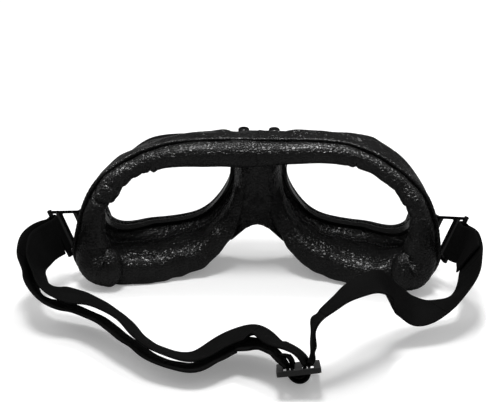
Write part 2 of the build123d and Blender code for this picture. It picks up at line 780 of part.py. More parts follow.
def bend_end(side, outer):
    """Middle, width and outward directions where a strap run leaves the turn round a loop."""
    face = loop_axis.cross(loop_out)
    middle = loop_bar + loop_out * strap_leg + face * outer * (bend_inner + strap_thickness / 2)
    end = (middle, loop_axis, loop_out, face)
    return end if side > 0 else tuple(mirrored(v) for v in end)


def slider_plane():
    """Plane of the slider: x runs across its bars, y along them and z up out of it."""
    tilt = radians(slider_tilt)
    bank = radians(slider_bank)
    leant = Vector(0, sin(tilt), cos(tilt))
    over = Vector(1, 0, 0) * cos(bank) + leant * sin(bank)
    away = Vector(-1, 0, 0) * sin(bank) + leant * cos(bank)
    return Plane(origin=Vector(*slider_place_shares) * half_width, x_dir=over, z_dir=away)


tail_bend = slider_centre_bar / 2 + tail_bend_gap
main_bend = tail_bend + strap_thickness + main_bend_gap


def slider_frame():
    """Three-bar slider with two slots and rounded corners."""
    plate = RectangleRounded(slider_across, slider_along, slider_corner)
    for side in (-1, 1):
        middle = side * (slider_centre_bar + slider_slot) / 2
        plate -= Pos(middle, 0) * RectangleRounded(slider_slot, slider_slot_along, slider_corner / 2)
    return extrude(slider_plane() * plate, amount=slider_thickness / 2, both=True)


def slider_bend(radius):
    """The strap's turn under the slider's middle bar, between the two slots."""
    outer = radius + strap_thickness
    edges = [
        Line((radius, bend_leg), (radius, 0)),
        ThreePointArc((radius, 0), (0, -radius), (-radius, 0)),
        Line((-radius, 0), (-radius, bend_leg)),
        Line((-radius, bend_leg), (-outer, bend_leg)),
        Line((-outer, bend_leg), (-outer, 0)),
        ThreePointArc((-outer, 0), (0, -outer), (outer, 0)),
        Line((outer, 0), (outer, bend_leg)),
        Line((outer, bend_leg), (radius, bend_leg)),
    ]
    plane = slider_plane()
    start = plane.origin + plane.y_dir * strap_width / 2
    side = Plane(origin=start, x_dir=plane.x_dir, z_dir=-plane.y_dir)
    return extrude(side * make_face(edges), amount=strap_width)


def slot_end(radius, side):
    """Middle, width and upward directions where a strap run enters the slider's slot."""
    plane = slider_plane()
    middle = plane.from_local_coords(Vector(side * (radius + strap_thickness / 2), 0, bend_leg))
    return middle, -plane.y_dir, plane.z_dir, plane.x_dir


def station(shares):
    """Middle and width direction of one strap station."""
    x, y, z, heading, lift = shares
    level = cos(radians(lift))
    width = Vector(level * sin(radians(heading)), -level * cos(radians(heading)), sin(radians(lift)))
    return Vector(x, y, z) * half_width, width


def smooth(before, start, end, after, share):
    """A place on the smooth curve from start to end whose slopes follow the neighbours."""
    a = start * 2
    b = end - before
    c = before * 2 - start * 5 + end * 4 - after
    d = after - end * 3 + start * 3 - before
    return (a + b * share + c * share**2 + d * share**3) * 0.5


def run_sections(first, shares, last):
    """Centres, widths and travel directions of a strap run, smoothed between its stations."""
    stations = [station(s) for s in shares]
    if first:
        stations.insert(0, first[:2])
    if last:
        stations.append(last[:2])
    count = len(stations)
    points = []
    for k in range(count - 1):
        four = [stations[min(max(k + j, 0), count - 1)] for j in (-1, 0, 1, 2)]
        for step in range(strap_steps):
            share = step / strap_steps
            points.append(tuple(smooth(*[f[part] for f in four], share) for part in (0, 1)))
    points.append(stations[-1])
    sections = []
    for k, (middle, width) in enumerate(points):
        travel = points[min(k + 1, len(points) - 1)][0] - points[max(k - 1, 0)][0]
        if k == 0 and first:
            travel = first[2]
        if k == len(points) - 1 and last:
            travel = -last[2]
        width = width.normalized()
        travel = (travel - width * travel.dot(width)).normalized()
        sections.append((middle, width, travel))
    return sections


def strap_run(sections, shift=0):
    """A strap run through its sections, moved by shift square to its face."""
    faces = []
    for middle, width, travel in sections:
        face = travel.cross(width)
        plane = Plane(origin=middle + face * shift, x_dir=width, z_dir=travel)
        faces.append(plane * Rectangle(strap_width, strap_thickness))
    return loft(faces, ruled=True)


def lower_strap():
    """The strap's lower run, from the left loop to the slider."""
    return strap_run(run_sections(bend_end(-1, 1), lower_run_shares, slot_end(main_bend, -1)))


def upper_strap():
    """The strap's upper run, from the left loop to the slider."""
    return strap_run(run_sections(bend_end(-1, -1), upper_run_shares, slot_end(tail_bend, 1)))


def right_strap():
    """The strap's right run, from the right loop to the slider."""
    return strap_run(run_sections(bend_end(1, 1), right_run_shares, slot_end(main_bend, 1)))


def right_flap():
    """The strap's end, turned back round the right loop and sewn to the run beside it."""
    sections = run_sections(bend_end(1, 1), right_run_shares, None)[: flap_stations * strap_steps]
    middle, width, travel, face = bend_end(1, -1)
    moved = [(middle, width, travel)]
    for middle, width, travel in sections[2:]:
        face = travel.cross(width)
        moved.append((middle + face * (strap_thickness + flap_gap), width, travel))
    return strap_run(moved)


def tail_strap():
    """The strap's other end, up from the slider's slot to where it is sewn under the upper run."""
    return strap_run(run_sections(None, tail_run_shares, slot_end(tail_bend, -1)))


def sides(solids):
    """Right-hand sub-parts and their mirror images, under the names of their sides."""
    both = {}
    for name, solid in solids.items():
        both["right_" + name] = solid
        both["left_" + name] = mirror(solid, about=Plane.YZ)
    return both


def sub_parts():
    """Every sub-part under its node name."""
    eye = {
        "eye_frame": eye_frame(),
        "lens_gasket": gasket(),
        "lens": lens(),
        "bezel": bezel(),
        "bezel_screws": bezel_screws(),
        "hinge_leaf": hinge_leaf(),
        "leaf_screws": leaf_screws(),
        "strap_ear": strap_ear(),
        "ear_rivets": ear_rivets(),
        "loop_pin": loop_pin(),
        "side_wall": side_wall(),
        "face_roll": face_roll(),
        "cheek_cushion": cheek_cushion(),
        "strap_loop": strap_loop(),
        "strap_bend": strap_bend(),
        "bridge_pin": bridge_pin(),
    }
    middle = {
        "bridge_plate": bridge_plate(),
        "nose_pad": nose_pad(),
        "brow_pad": brow_pad(),
        "brow_band": brow_band(),
        "strap_lower_run": lower_strap(),
        "strap_upper_run": upper_strap(),
        "strap_right_run": right_strap(),
        "strap_right_flap": right_flap(),
        "strap_tail": tail_strap(),
        "slider_frame": slider_frame(),
        "slider_tail_bend": slider_bend(tail_bend),
        "slider_main_bend": slider_bend(main_bend),
    }
    return {**sides(eye), **middle}


def main():
    """Write every sub-part, moved so that the middle of the whole stands on the origin."""
    parts = sub_parts()
    boxes = [solid.bounding_box() for solid in parts.values()]
    middle_x = (min(box.min.X for box in boxes) + max(box.max.X for box in boxes)) / 2
    middle_y = (min(box.min.Y for box in boxes) + max(box.max.Y for box in boxes)) / 2
    move = Pos(-middle_x, -middle_y, -min(box.min.Z for box in boxes))
    print("moved by", move.position)
    os.makedirs("parts", exist_ok=True)
    for name, solid in parts.items():
        export_step(move * solid, f"parts/{name}.step")


main()
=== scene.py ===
import json

import bpy
import numpy as np
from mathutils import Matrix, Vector


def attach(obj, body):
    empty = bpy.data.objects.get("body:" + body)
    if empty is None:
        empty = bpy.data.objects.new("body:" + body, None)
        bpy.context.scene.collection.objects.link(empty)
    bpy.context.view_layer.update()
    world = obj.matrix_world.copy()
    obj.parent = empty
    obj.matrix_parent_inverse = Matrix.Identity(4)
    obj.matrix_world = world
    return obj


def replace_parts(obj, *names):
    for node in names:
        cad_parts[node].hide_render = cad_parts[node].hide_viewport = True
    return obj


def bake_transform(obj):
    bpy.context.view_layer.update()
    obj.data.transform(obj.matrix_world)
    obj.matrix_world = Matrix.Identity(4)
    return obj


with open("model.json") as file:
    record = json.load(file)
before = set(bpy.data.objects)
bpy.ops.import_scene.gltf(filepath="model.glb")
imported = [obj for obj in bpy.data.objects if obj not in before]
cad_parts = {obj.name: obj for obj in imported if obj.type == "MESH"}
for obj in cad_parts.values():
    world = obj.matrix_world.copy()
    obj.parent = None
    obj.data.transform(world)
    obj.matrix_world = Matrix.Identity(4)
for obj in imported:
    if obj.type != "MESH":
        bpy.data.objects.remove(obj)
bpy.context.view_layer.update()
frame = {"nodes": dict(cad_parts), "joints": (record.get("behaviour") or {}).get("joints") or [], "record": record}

# Lengths are in millimetres before place() turns them into the frame's metres.
MM = 0.001
SIDES = {1: "right", -1: "left"}
PIN_DEPTH = 33.5
HALF_WIDTH, CUP_DEPTH, STAND_HEIGHT = 94.5, 43.0, 76.5

joints = {joint["name"]: joint for joint in frame["joints"]}
pins = [np.array(joints[name]["pos_m"]) / MM for name in ("right_fold", "left_fold")]
nose = (pins[0] + pins[1]) / 2
SHIFT = np.array([nose[0], nose[1] - PIN_DEPTH, 0.0])


def place(points):
    """Design millimetres, with the nose at x = 0, turned into the frame's metres."""
    return (np.asarray(points, float) + SHIFT) * MM


def unit(vectors):
    """Vectors divided by their lengths."""
    vectors = np.asarray(vectors, float)
    return vectors / np.linalg.norm(vectors, axis=-1, keepdims=True)


def flip(points, side):
    """Points of the wearer's right side, mirrored through x = 0 when side is -1."""
    return np.asarray(points) * np.array([side, 1.0, 1.0])


def circle(count):
    """Even angles round a full turn."""
    return np.linspace(0, 2 * np.pi, count, endpoint=False)


def smoothstep(low, high, x):
    """0 below low, 1 above high and 3t^2 - 2t^3 between them."""
    t = np.clip((x - low) / (high - low), 0, 1)
    return t * t * (3 - 2 * t)


def bump(x, centre, width):
    """A bell exp(-((x - centre) / width)^2)."""
    return np.exp(-(((x - centre) / width) ** 2))


def waves(u, v, pitch, count=24, seed=1):
    """Soft noise in -1..1: a mean of count sine waves in (u, v), their lengths near pitch."""
    random = np.random.default_rng(seed)
    total = np.zeros(np.broadcast(u, v).shape)
    for _ in range(count):
        angle, phase = random.uniform(0, 2 * np.pi, 2)
        length = pitch * random.uniform(0.7, 1.5)
        total += np.sin(2 * np.pi * (u * np.cos(angle) + v * np.sin(angle)) / length + phase)
    return total / np.sqrt(count / 2)


def creases(u, v, pitch, count=24, seed=1):
    """Sharp folds in 0..1: 1 minus the size of soft noise, so its zero lines are ridges."""
    return np.clip(1 - np.abs(waves(u, v, pitch, count, seed)), 0, 1)


def soften(values, window):
    """Values averaged with their neighbours, weighted by a window of odd length."""
    padded = np.pad(values, len(window) // 2, "edge")
    return np.convolve(padded, window / window.sum(), "valid")


def rounded_ends(count, reach, least):
    """Scale of each ring: 1, with a quarter circle down to least over reach rings at each end."""
    edge = np.minimum(np.arange(count), np.arange(count)[::-1]) / reach
    return np.sqrt(np.clip(1 - (1 - np.minimum(edge, 1)) ** 2, least, 1))


def lengths(points):
    """Length along a line of points, from 0 at the first one."""
    return np.concatenate([[0], np.cumsum(np.linalg.norm(np.diff(points, axis=0), axis=1))])


def sample(at, length, columns):
    """Every column of a table at the lengths in at, straight between its rows."""
    return np.stack([np.interp(at, length, column) for column in columns.T], axis=1)


def spline(points, count, closed=False):
    """Points along the cubic spline through the given points, taken over the chord lengths.

    count is how many, at even lengths, or an array of shares of the whole length. An open curve
    has free ends. A closed one meets itself, as four of its points are repeated at each end."""
    points = np.asarray(points, float)
    repeated, fine_steps = 4, 1600
    if closed:
        points = np.concatenate([points[-repeated:], points, points[: repeated + 1]])
    knots = lengths(points)
    n = len(points)
    gaps = np.diff(knots)
    matrix = np.eye(n)
    right = np.zeros_like(points)
    for k in range(1, n - 1):
        matrix[k, k - 1 : k + 2] = gaps[k - 1], 2 * (gaps[k - 1] + gaps[k]), gaps[k]
        right[k] = 6 * (
            (points[k + 1] - points[k]) / gaps[k] - (points[k] - points[k - 1]) / gaps[k - 1]
        )
    bend = np.linalg.solve(matrix, right)
    first, last = (knots[repeated], knots[n - 1 - repeated]) if closed else (0, knots[-1])
    fine = np.linspace(first, last, fine_steps)
    at = np.clip(np.searchsorted(knots, fine, "right") - 1, 0, n - 2)
    gap = gaps[at][:, None]
    a = ((knots[at + 1] - fine)[:, None]) / gap
    b = 1 - a
    curve = a * points[at] + b * points[at + 1]
    curve += ((a**3 - a) * bend[at] + (b**3 - b) * bend[at + 1]) * gap**2 / 6
    length = lengths(curve)
    if np.ndim(count):
        share = np.asarray(count) * length[-1]
    else:
        share = np.linspace(0, length[-1], count + 1 if closed else count)
        share = share[:-1] if closed else share
    return sample(share, length, curve)


# ---- meshes ----


def mesh_object(name, verts, faces, uv=None):
    """A smooth mesh object at the origin; uv has one pair for each vertex."""
    mesh = bpy.data.meshes.new(name)
    mesh.from_pydata(np.asarray(verts, float).tolist(), [], faces)
    mesh.shade_smooth()
    if uv is not None:
        layer = mesh.uv_layers.new(name="surface")
        corner = np.empty(len(mesh.loops), np.int32)
        mesh.loops.foreach_get("vertex_index", corner)
        layer.data.foreach_set("uv", np.asarray(uv, np.float32)[corner].ravel())
    mesh.validate()
    thing = bpy.data.objects.new(name, mesh)
    bpy.context.scene.collection.objects.link(thing)
    return thing


def skin(count, around):
    """Quads between count rings of around points, and the triangles to a pole at each end."""
    index = np.arange(count * around).reshape(count, around)
    after = np.roll(index, -1, axis=1)
    quads = np.stack([index[:-1], after[:-1], after[1:], index[1:]], axis=-1).reshape(-1, 4)
    first, last = np.full(around, index.size), np.full(around, index.size + 1)
    caps = np.stack([first, after[0], index[0]], 1), np.stack([last, index[-1], after[-1]], 1)
    return quads, np.concatenate(caps)


def outward(verts, quads, caps):
    """Faces of a closed mesh as lists, all turned round if they look inwards.

    They look inwards when the signed volume, a sixth of the sum of the corner triple products
    of its triangles, is below 0."""
    triangles = np.concatenate([quads[:, [0, 1, 2]], quads[:, [0, 2, 3]], caps])
    a, b, c = (verts[triangles[:, k]] for k in range(3))
    if np.sum(a * np.cross(b, c)) < 0:
        quads, caps = quads[:, ::-1], caps[:, ::-1]
    return quads.tolist() + caps.tolist()


def tube(name, rows, uv=None):
    """A closed skin over rows of points: each row is a ring, and a pole closes each end."""
    verts = np.concatenate([rows.reshape(-1, 3), [rows[0].mean(0), rows[-1].mean(0)]])
    faces = outward(verts, *skin(*rows.shape[:2]))
    if uv is not None:
        uv = np.concatenate([uv.reshape(-1, 2), [uv[0].mean(0), uv[-1].mean(0)]])
    return mesh_object(name, place(verts), faces, uv)


# ---- materials ----


class Value:
    """A socket with arithmetic: each operator adds one Math node."""

    def __init__(self, graph, socket):
        self.graph, self.socket = graph, socket

    def _math(self, operation, *others):
        return self.graph.node("ShaderNodeMath", {"operation": operation}, dict(enumerate(others)))

    def __add__(self, other):
        return self._math("ADD", self, other)

    __radd__ = __add__

    def __mul__(self, other):
        return self._math("MULTIPLY", self, other)

    __rmul__ = __mul__

    def __sub__(self, other):
        return self._math("SUBTRACT", self, other)

    def __rsub__(self, other):
        return self._math("SUBTRACT", other, self)

    def clamp(self):
        """The value kept in 0..1."""
        return self._math("MAXIMUM", self._math("MINIMUM", self, 1.0), 0.0)

    def step(self, low, high):
        """0 below low, 1 above high and straight between them."""
        return ((self - low) * (1 / (high - low))).clamp()


class Graph:
    """Nodes of one material with its Principled shader."""

    def __init__(self, name, **constants):
        self.material = bpy.data.materials.new(name)
        self.material.use_nodes = True
        self.tree = self.material.node_tree
        self.shader = self.tree.nodes["Principled BSDF"]
        for socket, value in constants.items():
            self.shader.inputs[socket.replace("_", " ")].default_value = value

    def node(self, kind, settings=None, inputs=None, output=0):
        """One node: its settings first, then the values or links of its sockets."""
        made = self.tree.nodes.new(kind)
        for key, value in (settings or {}).items():
            setattr(made, key, value)
        for key, value in (inputs or {}).items():
            if isinstance(value, Value):
                self.tree.links.new(value.socket, made.inputs[key])
            else:
                made.inputs[key].default_value = value
        return Value(self, made.outputs[output])

    def coordinates(self, scale=(1, 1, 1)):
        """Object coordinates in metres, times scale."""
        point = self.node("ShaderNodeTexCoord", output="Object")
        return self.node("ShaderNodeMapping", inputs={"Vector": point, "Scale": scale})

    def noise(self, point, pitch, detail=4.0):
        """Soft noise in 0..1 whose lumps are about pitch metres wide."""
        sockets = {"Vector": point, "Scale": 1 / pitch, "Detail": detail, "Roughness": 0.55}
        return self.node("ShaderNodeTexNoise", inputs=sockets)

    def cells(self, point, pitch, feature="F1"):
        """Distance field of scattered cells about pitch metres wide."""
        sockets = {"Vector": point, "Scale": 1 / pitch, "Randomness": 1.0}
        return self.node("ShaderNodeTexVoronoi", {"feature": feature}, sockets)

    def mix(self, factor, a, b):
        """Colour a where factor is 0 and b where it is 1."""
        sockets = {0: factor, 6: (*a, 1), 7: (*b, 1)}
        return self.node("ShaderNodeMix", {"data_type": "RGBA"}, sockets, output=2)

    def bump(self, height, depth):
        """Normal that tilts as height, in 0..1, were depth metres deep."""
        sockets = {"Height": height, "Distance": depth, "Strength": 1.0}
        return self.node("ShaderNodeBump", inputs=sockets)

    def feed(self, **links):
        """Link values to the shader's sockets, and return the material."""
        for socket, value in links.items():
            self.tree.links.new(value.socket, self.shader.inputs[socket.replace("_", " ")])
        return self.material


def leather(name, grain, crackle, sheen_low, sheen_high):
    """Black hide: fine grain, short creases that sparkle in the light, and rubbed patches."""
    g = Graph(name, Specular_IOR_Level=0.40, Coat_Roughness=0.14)
    point = g.coordinates()
    pores = g.cells(point, grain)
    large = g.noise(point, grain * 16, detail=3.0)
    fine = g.noise(point, grain * 0.5, detail=4.0)
    crease = g.cells(point, grain * 1.7, "DISTANCE_TO_EDGE").step(0.0, 0.22)
    worn = large.step(0.40, 0.66)
    height = pores * 0.3 + fine * 0.15 + crease * crackle
    colour = g.mix(worn, (0.0050, 0.0049, 0.0049), (0.0074, 0.0073, 0.0072))
    rough = sheen_low + (sheen_high - sheen_low) * (1 - worn) + fine * 0.08
    return g.feed(
        Base_Color=colour, Roughness=rough, Normal=g.bump(height, 0.00021), Coat_Weight=worn * 0.12
    )


def enamel(name, roughness):
    """Gloss black paint with a faint orange peel and duller rubbed spots."""
    g = Graph(name, Specular_IOR_Level=0.3, Coat_Roughness=0.12, Coat_Weight=0.1)
    point = g.coordinates()
    peel = g.noise(point, 0.0011, detail=2.0)
    spots = g.noise(point, 0.006, detail=6.0).step(0.5, 0.75)
    colour = g.mix(spots, (0.0025, 0.0025, 0.0026), (0.005, 0.005, 0.0052))
    return g.feed(
        Base_Color=colour, Roughness=roughness + spots * 0.18, Normal=g.bump(peel, 0.00003)
    )


def steel(name):
    """Blackened steel, brighter where fine scratches cross it."""
    g = Graph(name, Metallic=0.9)
    point = g.coordinates(scale=(1, 1, 6))
    scratch = g.noise(point, 0.0007, detail=6.0).step(0.55, 0.7)
    colour = g.mix(scratch, (0.03, 0.03, 0.032), (0.16, 0.16, 0.165))
    rough = 0.34 + scratch * 0.2
    return g.feed(Base_Color=colour, Roughness=rough, Normal=g.bump(scratch, 0.00002))


def rubber(name):
    """Matt black rubber."""
    g = Graph(name)
    fine = g.noise(g.coordinates(), 0.0006)
    colour = g.mix(fine, (0.012, 0.012, 0.012), (0.024, 0.024, 0.024))
    return g.feed(Base_Color=colour, Roughness=0.7 + fine * 0.2, Normal=g.bump(fine, 0.00003))


def clear_lens(name):
    """Clear polished sheet with the faintest dust."""
    g = Graph(name, IOR=1.49, Specular_IOR_Level=0.5)
    dust = g.noise(g.coordinates(), 0.0009, detail=8.0).step(0.66, 0.74)
    colour = g.mix(dust, (0.96, 0.98, 0.985), (0.9, 0.9, 0.9))
    g.material.surface_render_method = "BLENDED"
    return g.feed(Base_Color=colour, Roughness=0.03 + dust * 0.3, Alpha=0.035 + dust * 0.02)


def webbing(name):
    """Black elastic: cross ribs and lengthwise cords in a weave, with lint and worn patches."""
    g = Graph(name, Specular_IOR_Level=0.06)
    point = g.node("ShaderNodeTexCoord", output="UV")
    along = g.node("ShaderNodeSeparateXYZ", inputs={0: point})
    across = g.node("ShaderNodeSeparateXYZ", inputs={0: point}, output=1)
    turn, rib_pitch, cord_pitch = 2 * np.pi, 0.0009, 0.0013
    rib = g.node("ShaderNodeMath", {"operation": "SINE"}, {0: along * (turn / rib_pitch)})
    cord = g.node("ShaderNodeMath", {"operation": "SINE"}, {0: across * (turn / cord_pitch)})
    weave = rib * cord * 0.5 + 0.5
    lint = g.noise(point, 0.0004, detail=6.0)
    patch = g.noise(point, 0.012, detail=2.0).step(0.35, 0.7)
    worn = (weave * 0.4 + lint * 0.35 + patch * 0.25).clamp()
    colour = g.mix(worn, (0.0010,) * 3, (0.0052,) * 3)
    height = weave * 0.7 + lint * 0.3
    return g.feed(Base_Color=colour, Roughness=0.72 + lint * 0.2, Normal=g.bump(height, 0.00016))


def moulded(name):
    """Black moulded plastic with a fine spark-eroded texture."""
    g = Graph(name, Specular_IOR_Level=0.5)
    fine = g.noise(g.coordinates(), 0.0005, detail=3.0)
    colour = g.mix(fine, (0.008,) * 3, (0.016,) * 3)
    return g.feed(Base_Color=colour, Roughness=0.32 + fine * 0.15, Normal=g.bump(fine, 0.00002))


def thread(name):
    """Waxed black thread."""
    g = Graph(name, Specular_IOR_Level=0.5)
    twist = g.noise(g.coordinates(), 0.0003)
    colour = g.mix(twist, (0.05,) * 3, (0.10,) * 3)
    return g.feed(Base_Color=colour, Roughness=0.4 + twist * 0.2, Normal=g.bump(twist, 0.00005))


FINISH = {
    "grained_leather": leather("grained_leather", 0.0010, 0.8, 0.17, 0.25),
    "smooth_leather": leather("smooth_leather", 0.0008, 0.35, 0.36, 0.52),
    "black_enamel": enamel("black_enamel", 0.2),
    "blackened_steel": steel("blackened_steel"),
    "gasket_rubber": rubber("gasket_rubber"),
    "clear_lens": clear_lens("clear_lens"),
    "strap_webbing": webbing("strap_webbing"),
    "slider_plastic": moulded("slider_plastic"),
}
THREAD = thread("waxed_thread")


def dress(thing, slot, material=None):
    """Give a new piece the material of its slot, or the material given."""
    thing.data.materials.clear()
    thing.data.materials.append(material or FINISH[slot])
    return thing


def dress_frame():
    """Each rigid node of the frame gets the material of its slot."""
    for part in frame["record"]["subparts"]:
        node = frame["nodes"][part["node"]]
        node.data.materials.clear()
        node.data.materials.append(FINISH[part["material_slot"]])


# ---- leather ----

# Shares of HALF_WIDTH, CUP_DEPTH and STAND_HEIGHT along the roll's middle
ROLL_ROUTE = [
    (0.119, 0.102, 0.919), (0.317, 0.081, 0.919), (0.492, 0.047, 0.902), (0.624, -0.023, 0.850),
    (0.730, -0.116, 0.778), (0.815, -0.186, 0.686), (0.873, -0.244, 0.575), (0.910, -0.267, 0.458),
    (0.925, -0.279, 0.340), (0.922, -0.285, 0.240), (0.900, -0.291, 0.165), (0.855, -0.293, 0.118),
    (0.790, -0.292, 0.108), (0.725, -0.290, 0.104),
]
# Length along the route, radius, shift away from the eye, how far the band's piping stands beyond
# the roll, and the belly of the band, as the photograph shows them on each side
ROLL_SHAPE = {
    1: [
        (0, 6.5, -1.6, 0.4, 4.7), (14, 6.1, -1.0, 0.4, 4.4), (28, 5.6, -0.2, 0.4, 4.3),
        (43, 5.1, 0.0, 0.5, 4.6), (52, 4.6, 0.0, 0.8, 5.0), (62, 4.4, 0.0, 1.2, 5.4),
        (72, 4.4, -0.1, 1.6, 5.4), (80, 4.7, -0.3, 1.7, 4.8), (88, 5.1, -0.6, 1.8, 4.0),
        (95, 5.6, -1.8, 1.8, 3.0), (101, 6.4, -3.2, 1.8, 2.0), (108, 7.6, -4.6, 1.7, 0.9),
        (115, 8.8, -5.2, 1.6, 0.5), (122, 10.0, -5.2, 1.4, 0.4), (130, 10.8, -4.8, 1.1, 0.4),
        (138, 11.0, -4.2, 0.6, 0.3), (146, 10.6, -3.6, 0.3, 0.3),
    ],
    -1: [
        (0, 6.5, -1.6, 0.4, 4.7), (14, 6.8, -1.7, 0.4, 3.9), (28, 6.6, -1.8, 0.4, 3.4),
        (40, 6.1, -1.9, 0.5, 2.6), (50, 5.6, -1.8, 0.8, 1.2), (60, 5.0, -0.9, 1.1, 1.0),
        (66, 4.8, -0.4, 1.2, 2.1), (72, 5.0, -0.4, 1.3, 3.0), (80, 5.5, -0.9, 1.5, 3.3),
        (88, 5.0, -1.0, 1.6, 3.0), (94, 5.3, -2.0, 1.7, 2.2), (101, 5.9, -3.3, 1.8, 1.4),
        (107, 6.7, -4.1, 1.7, 0.8), (114, 8.5, -4.6, 1.6, 0.4), (121, 10.0, -4.2, 1.4, 0.4),
        (130, 11.0, -4.0, 1.0, 0.3), (138, 11.2, -3.6, 0.6, 0.3), (146, 10.8, -3.2, 0.3, 0.3),
    ],
}
ROLL_RADIUS, ROLL_LAST, ROLL_SOFTEN = 6.2, 146, 5
# Height of the leather's lowest skin above the floor
FLOOR_GAP = 0.3
# Length along the route, width, depth and slant of each pinch
PINCHES = {
    1: [(50, 0.8, 0.5, 1.0), (74, 1.2, 0.35, 2.0), (85, 1.3, 0.6, 2.5), (91, 1.0, 0.5, 1.5)],
    -1: [
        (56, 0.8, 0.8, 1.0), (66, 1.0, 0.35, 1.5), (73, 0.9, 0.8, 4.0), (78.5, 2.6, -1.0, 1.5),
        (85, 1.1, 1.4, 2.5), (90, 1.0, 0.5, 1.0),
    ],
}
EYE_WIDTH, EYE_HEIGHT, NOSE_HALF, FRAME_LIFT = 73.4, 53.0, 10.2, 15.0
FRAME_BACK, BEND_PLACE, BEND_ANGLE = 28.5, 57.0, np.radians(38.0)
# Shares of EYE_WIDTH and EYE_HEIGHT round the frame
OUTLINE = [
    (0.00, 0.74), (0.05, 0.975), (0.28, 1.00), (0.60, 0.96), (0.86, 0.76), (1.00, 0.42),
    (0.93, 0.11), (0.72, 0.00), (0.47, 0.025), (0.24, 0.13), (0.07, 0.40),
]
# Share along the frame's outline, reach out from it and depth of the face side
CHEEK_STATIONS = [
    (1.030, 2.6, 22.0), (0.980, 3.4, 19.0), (0.940, 5.2, 15.0), (0.900, 7.2, 11.0),
    (0.876, 9.0, 8.0), (0.848, 10.8, 4.5), (0.812, 13.0, 1.0), (0.776, 15.2, -2.5),
    (0.729, 15.4, -6.0), (0.675, 16.0, -9.5), (0.627, 16.8, -12.0), (0.593, 16.5, -12.5),
    (0.565, 15.2, -12.0), (0.540, 12.0, -10.5), (0.515, 8.0, -8.5),
]
# Height, half width and crown depth of the saddle
NOSE_SECTIONS = [
    (20.0, 19.5, 7.0), (24.0, 20.0, 8.5), (28.0, 20.2, 10.0), (31.0, 19.6, 11.0),
    (34.5, 18.6, 11.8), (38.0, 16.9, 12.2), (42.0, 15.2, 12.2), (46.0, 13.8, 12.0),
    (50.0, 12.9, 11.6), (60.0, 12.4, 10.2), (66.0, 12.0, 9.8),
]
ARCH_TOP, ARCH_ROUND, SADDLE_TOP = 25.7, 6.5, 66.0
# How far the saddle's halves reach past the middle, the share of the roll's route that the band
# follows, and where the cushion's stitched seam runs, as a share of the way round it
MIDDLE_OVERLAP, WALL_END, SEAM_PLACE = 0.25, 0.90, 0.875


def roll_route(shares):
    """Route of the padded roll from the middle of the brow to its tucked end, and its length."""
    points = np.array(ROLL_ROUTE) * (HALF_WIDTH, CUP_DEPTH, STAND_HEIGHT)
    middle = points[0] * (0, 1, 1)
    points = np.concatenate([[points[0] * (-1, 1, 1), middle], points])
    route = spline(points, np.linspace(0, 1, 800))
    route = route[route[:, 0] >= 0]
    route[0, 0] = 0
    length = lengths(route)
    return sample(np.asarray(shares) * length[-1], length, route), length[-1]


def away(route):
    """Unit vectors in front view, square to the route and away from the eye."""
    run = np.gradient(route, axis=0)
    out = np.stack([-run[:, 2], np.zeros(len(run)), run[:, 0]], axis=1)
    out[0] = (0, 0, 1)
    return unit(out)


def roll_shape(side, s):
    """Columns of the roll's table at lengths s along the route, softened over millimetres."""
    table = np.array(ROLL_SHAPE[side])
    window = np.hanning(2 * ROLL_SOFTEN + 1)
    fine = np.arange(-ROLL_SOFTEN, ROLL_LAST + ROLL_SOFTEN + 1.0)
    return [
        np.interp(s, fine, soften(np.interp(fine, table[:, 0], column), window))
        for column in table.T[1:]
    ]


def roll_middle(side, shares):
    """Middle of the visible roll, its way out, length, radius, and the band's piping and belly."""
    route, length = roll_route(shares)
    out = away(route)
    s = shares * length
    radius, shift, piping, belly = roll_shape(side, s)
    middle = route + out * shift[:, None]
    temple = smoothstep(60, 100, s) * (1 - smoothstep(112, 130, s))
    middle[:, 1] += (radius - ROLL_RADIUS) * 0.9 * temple
    middle[:, 2] = np.maximum(middle[:, 2], radius + 0.25)
    return middle, out, s, radius, piping, belly


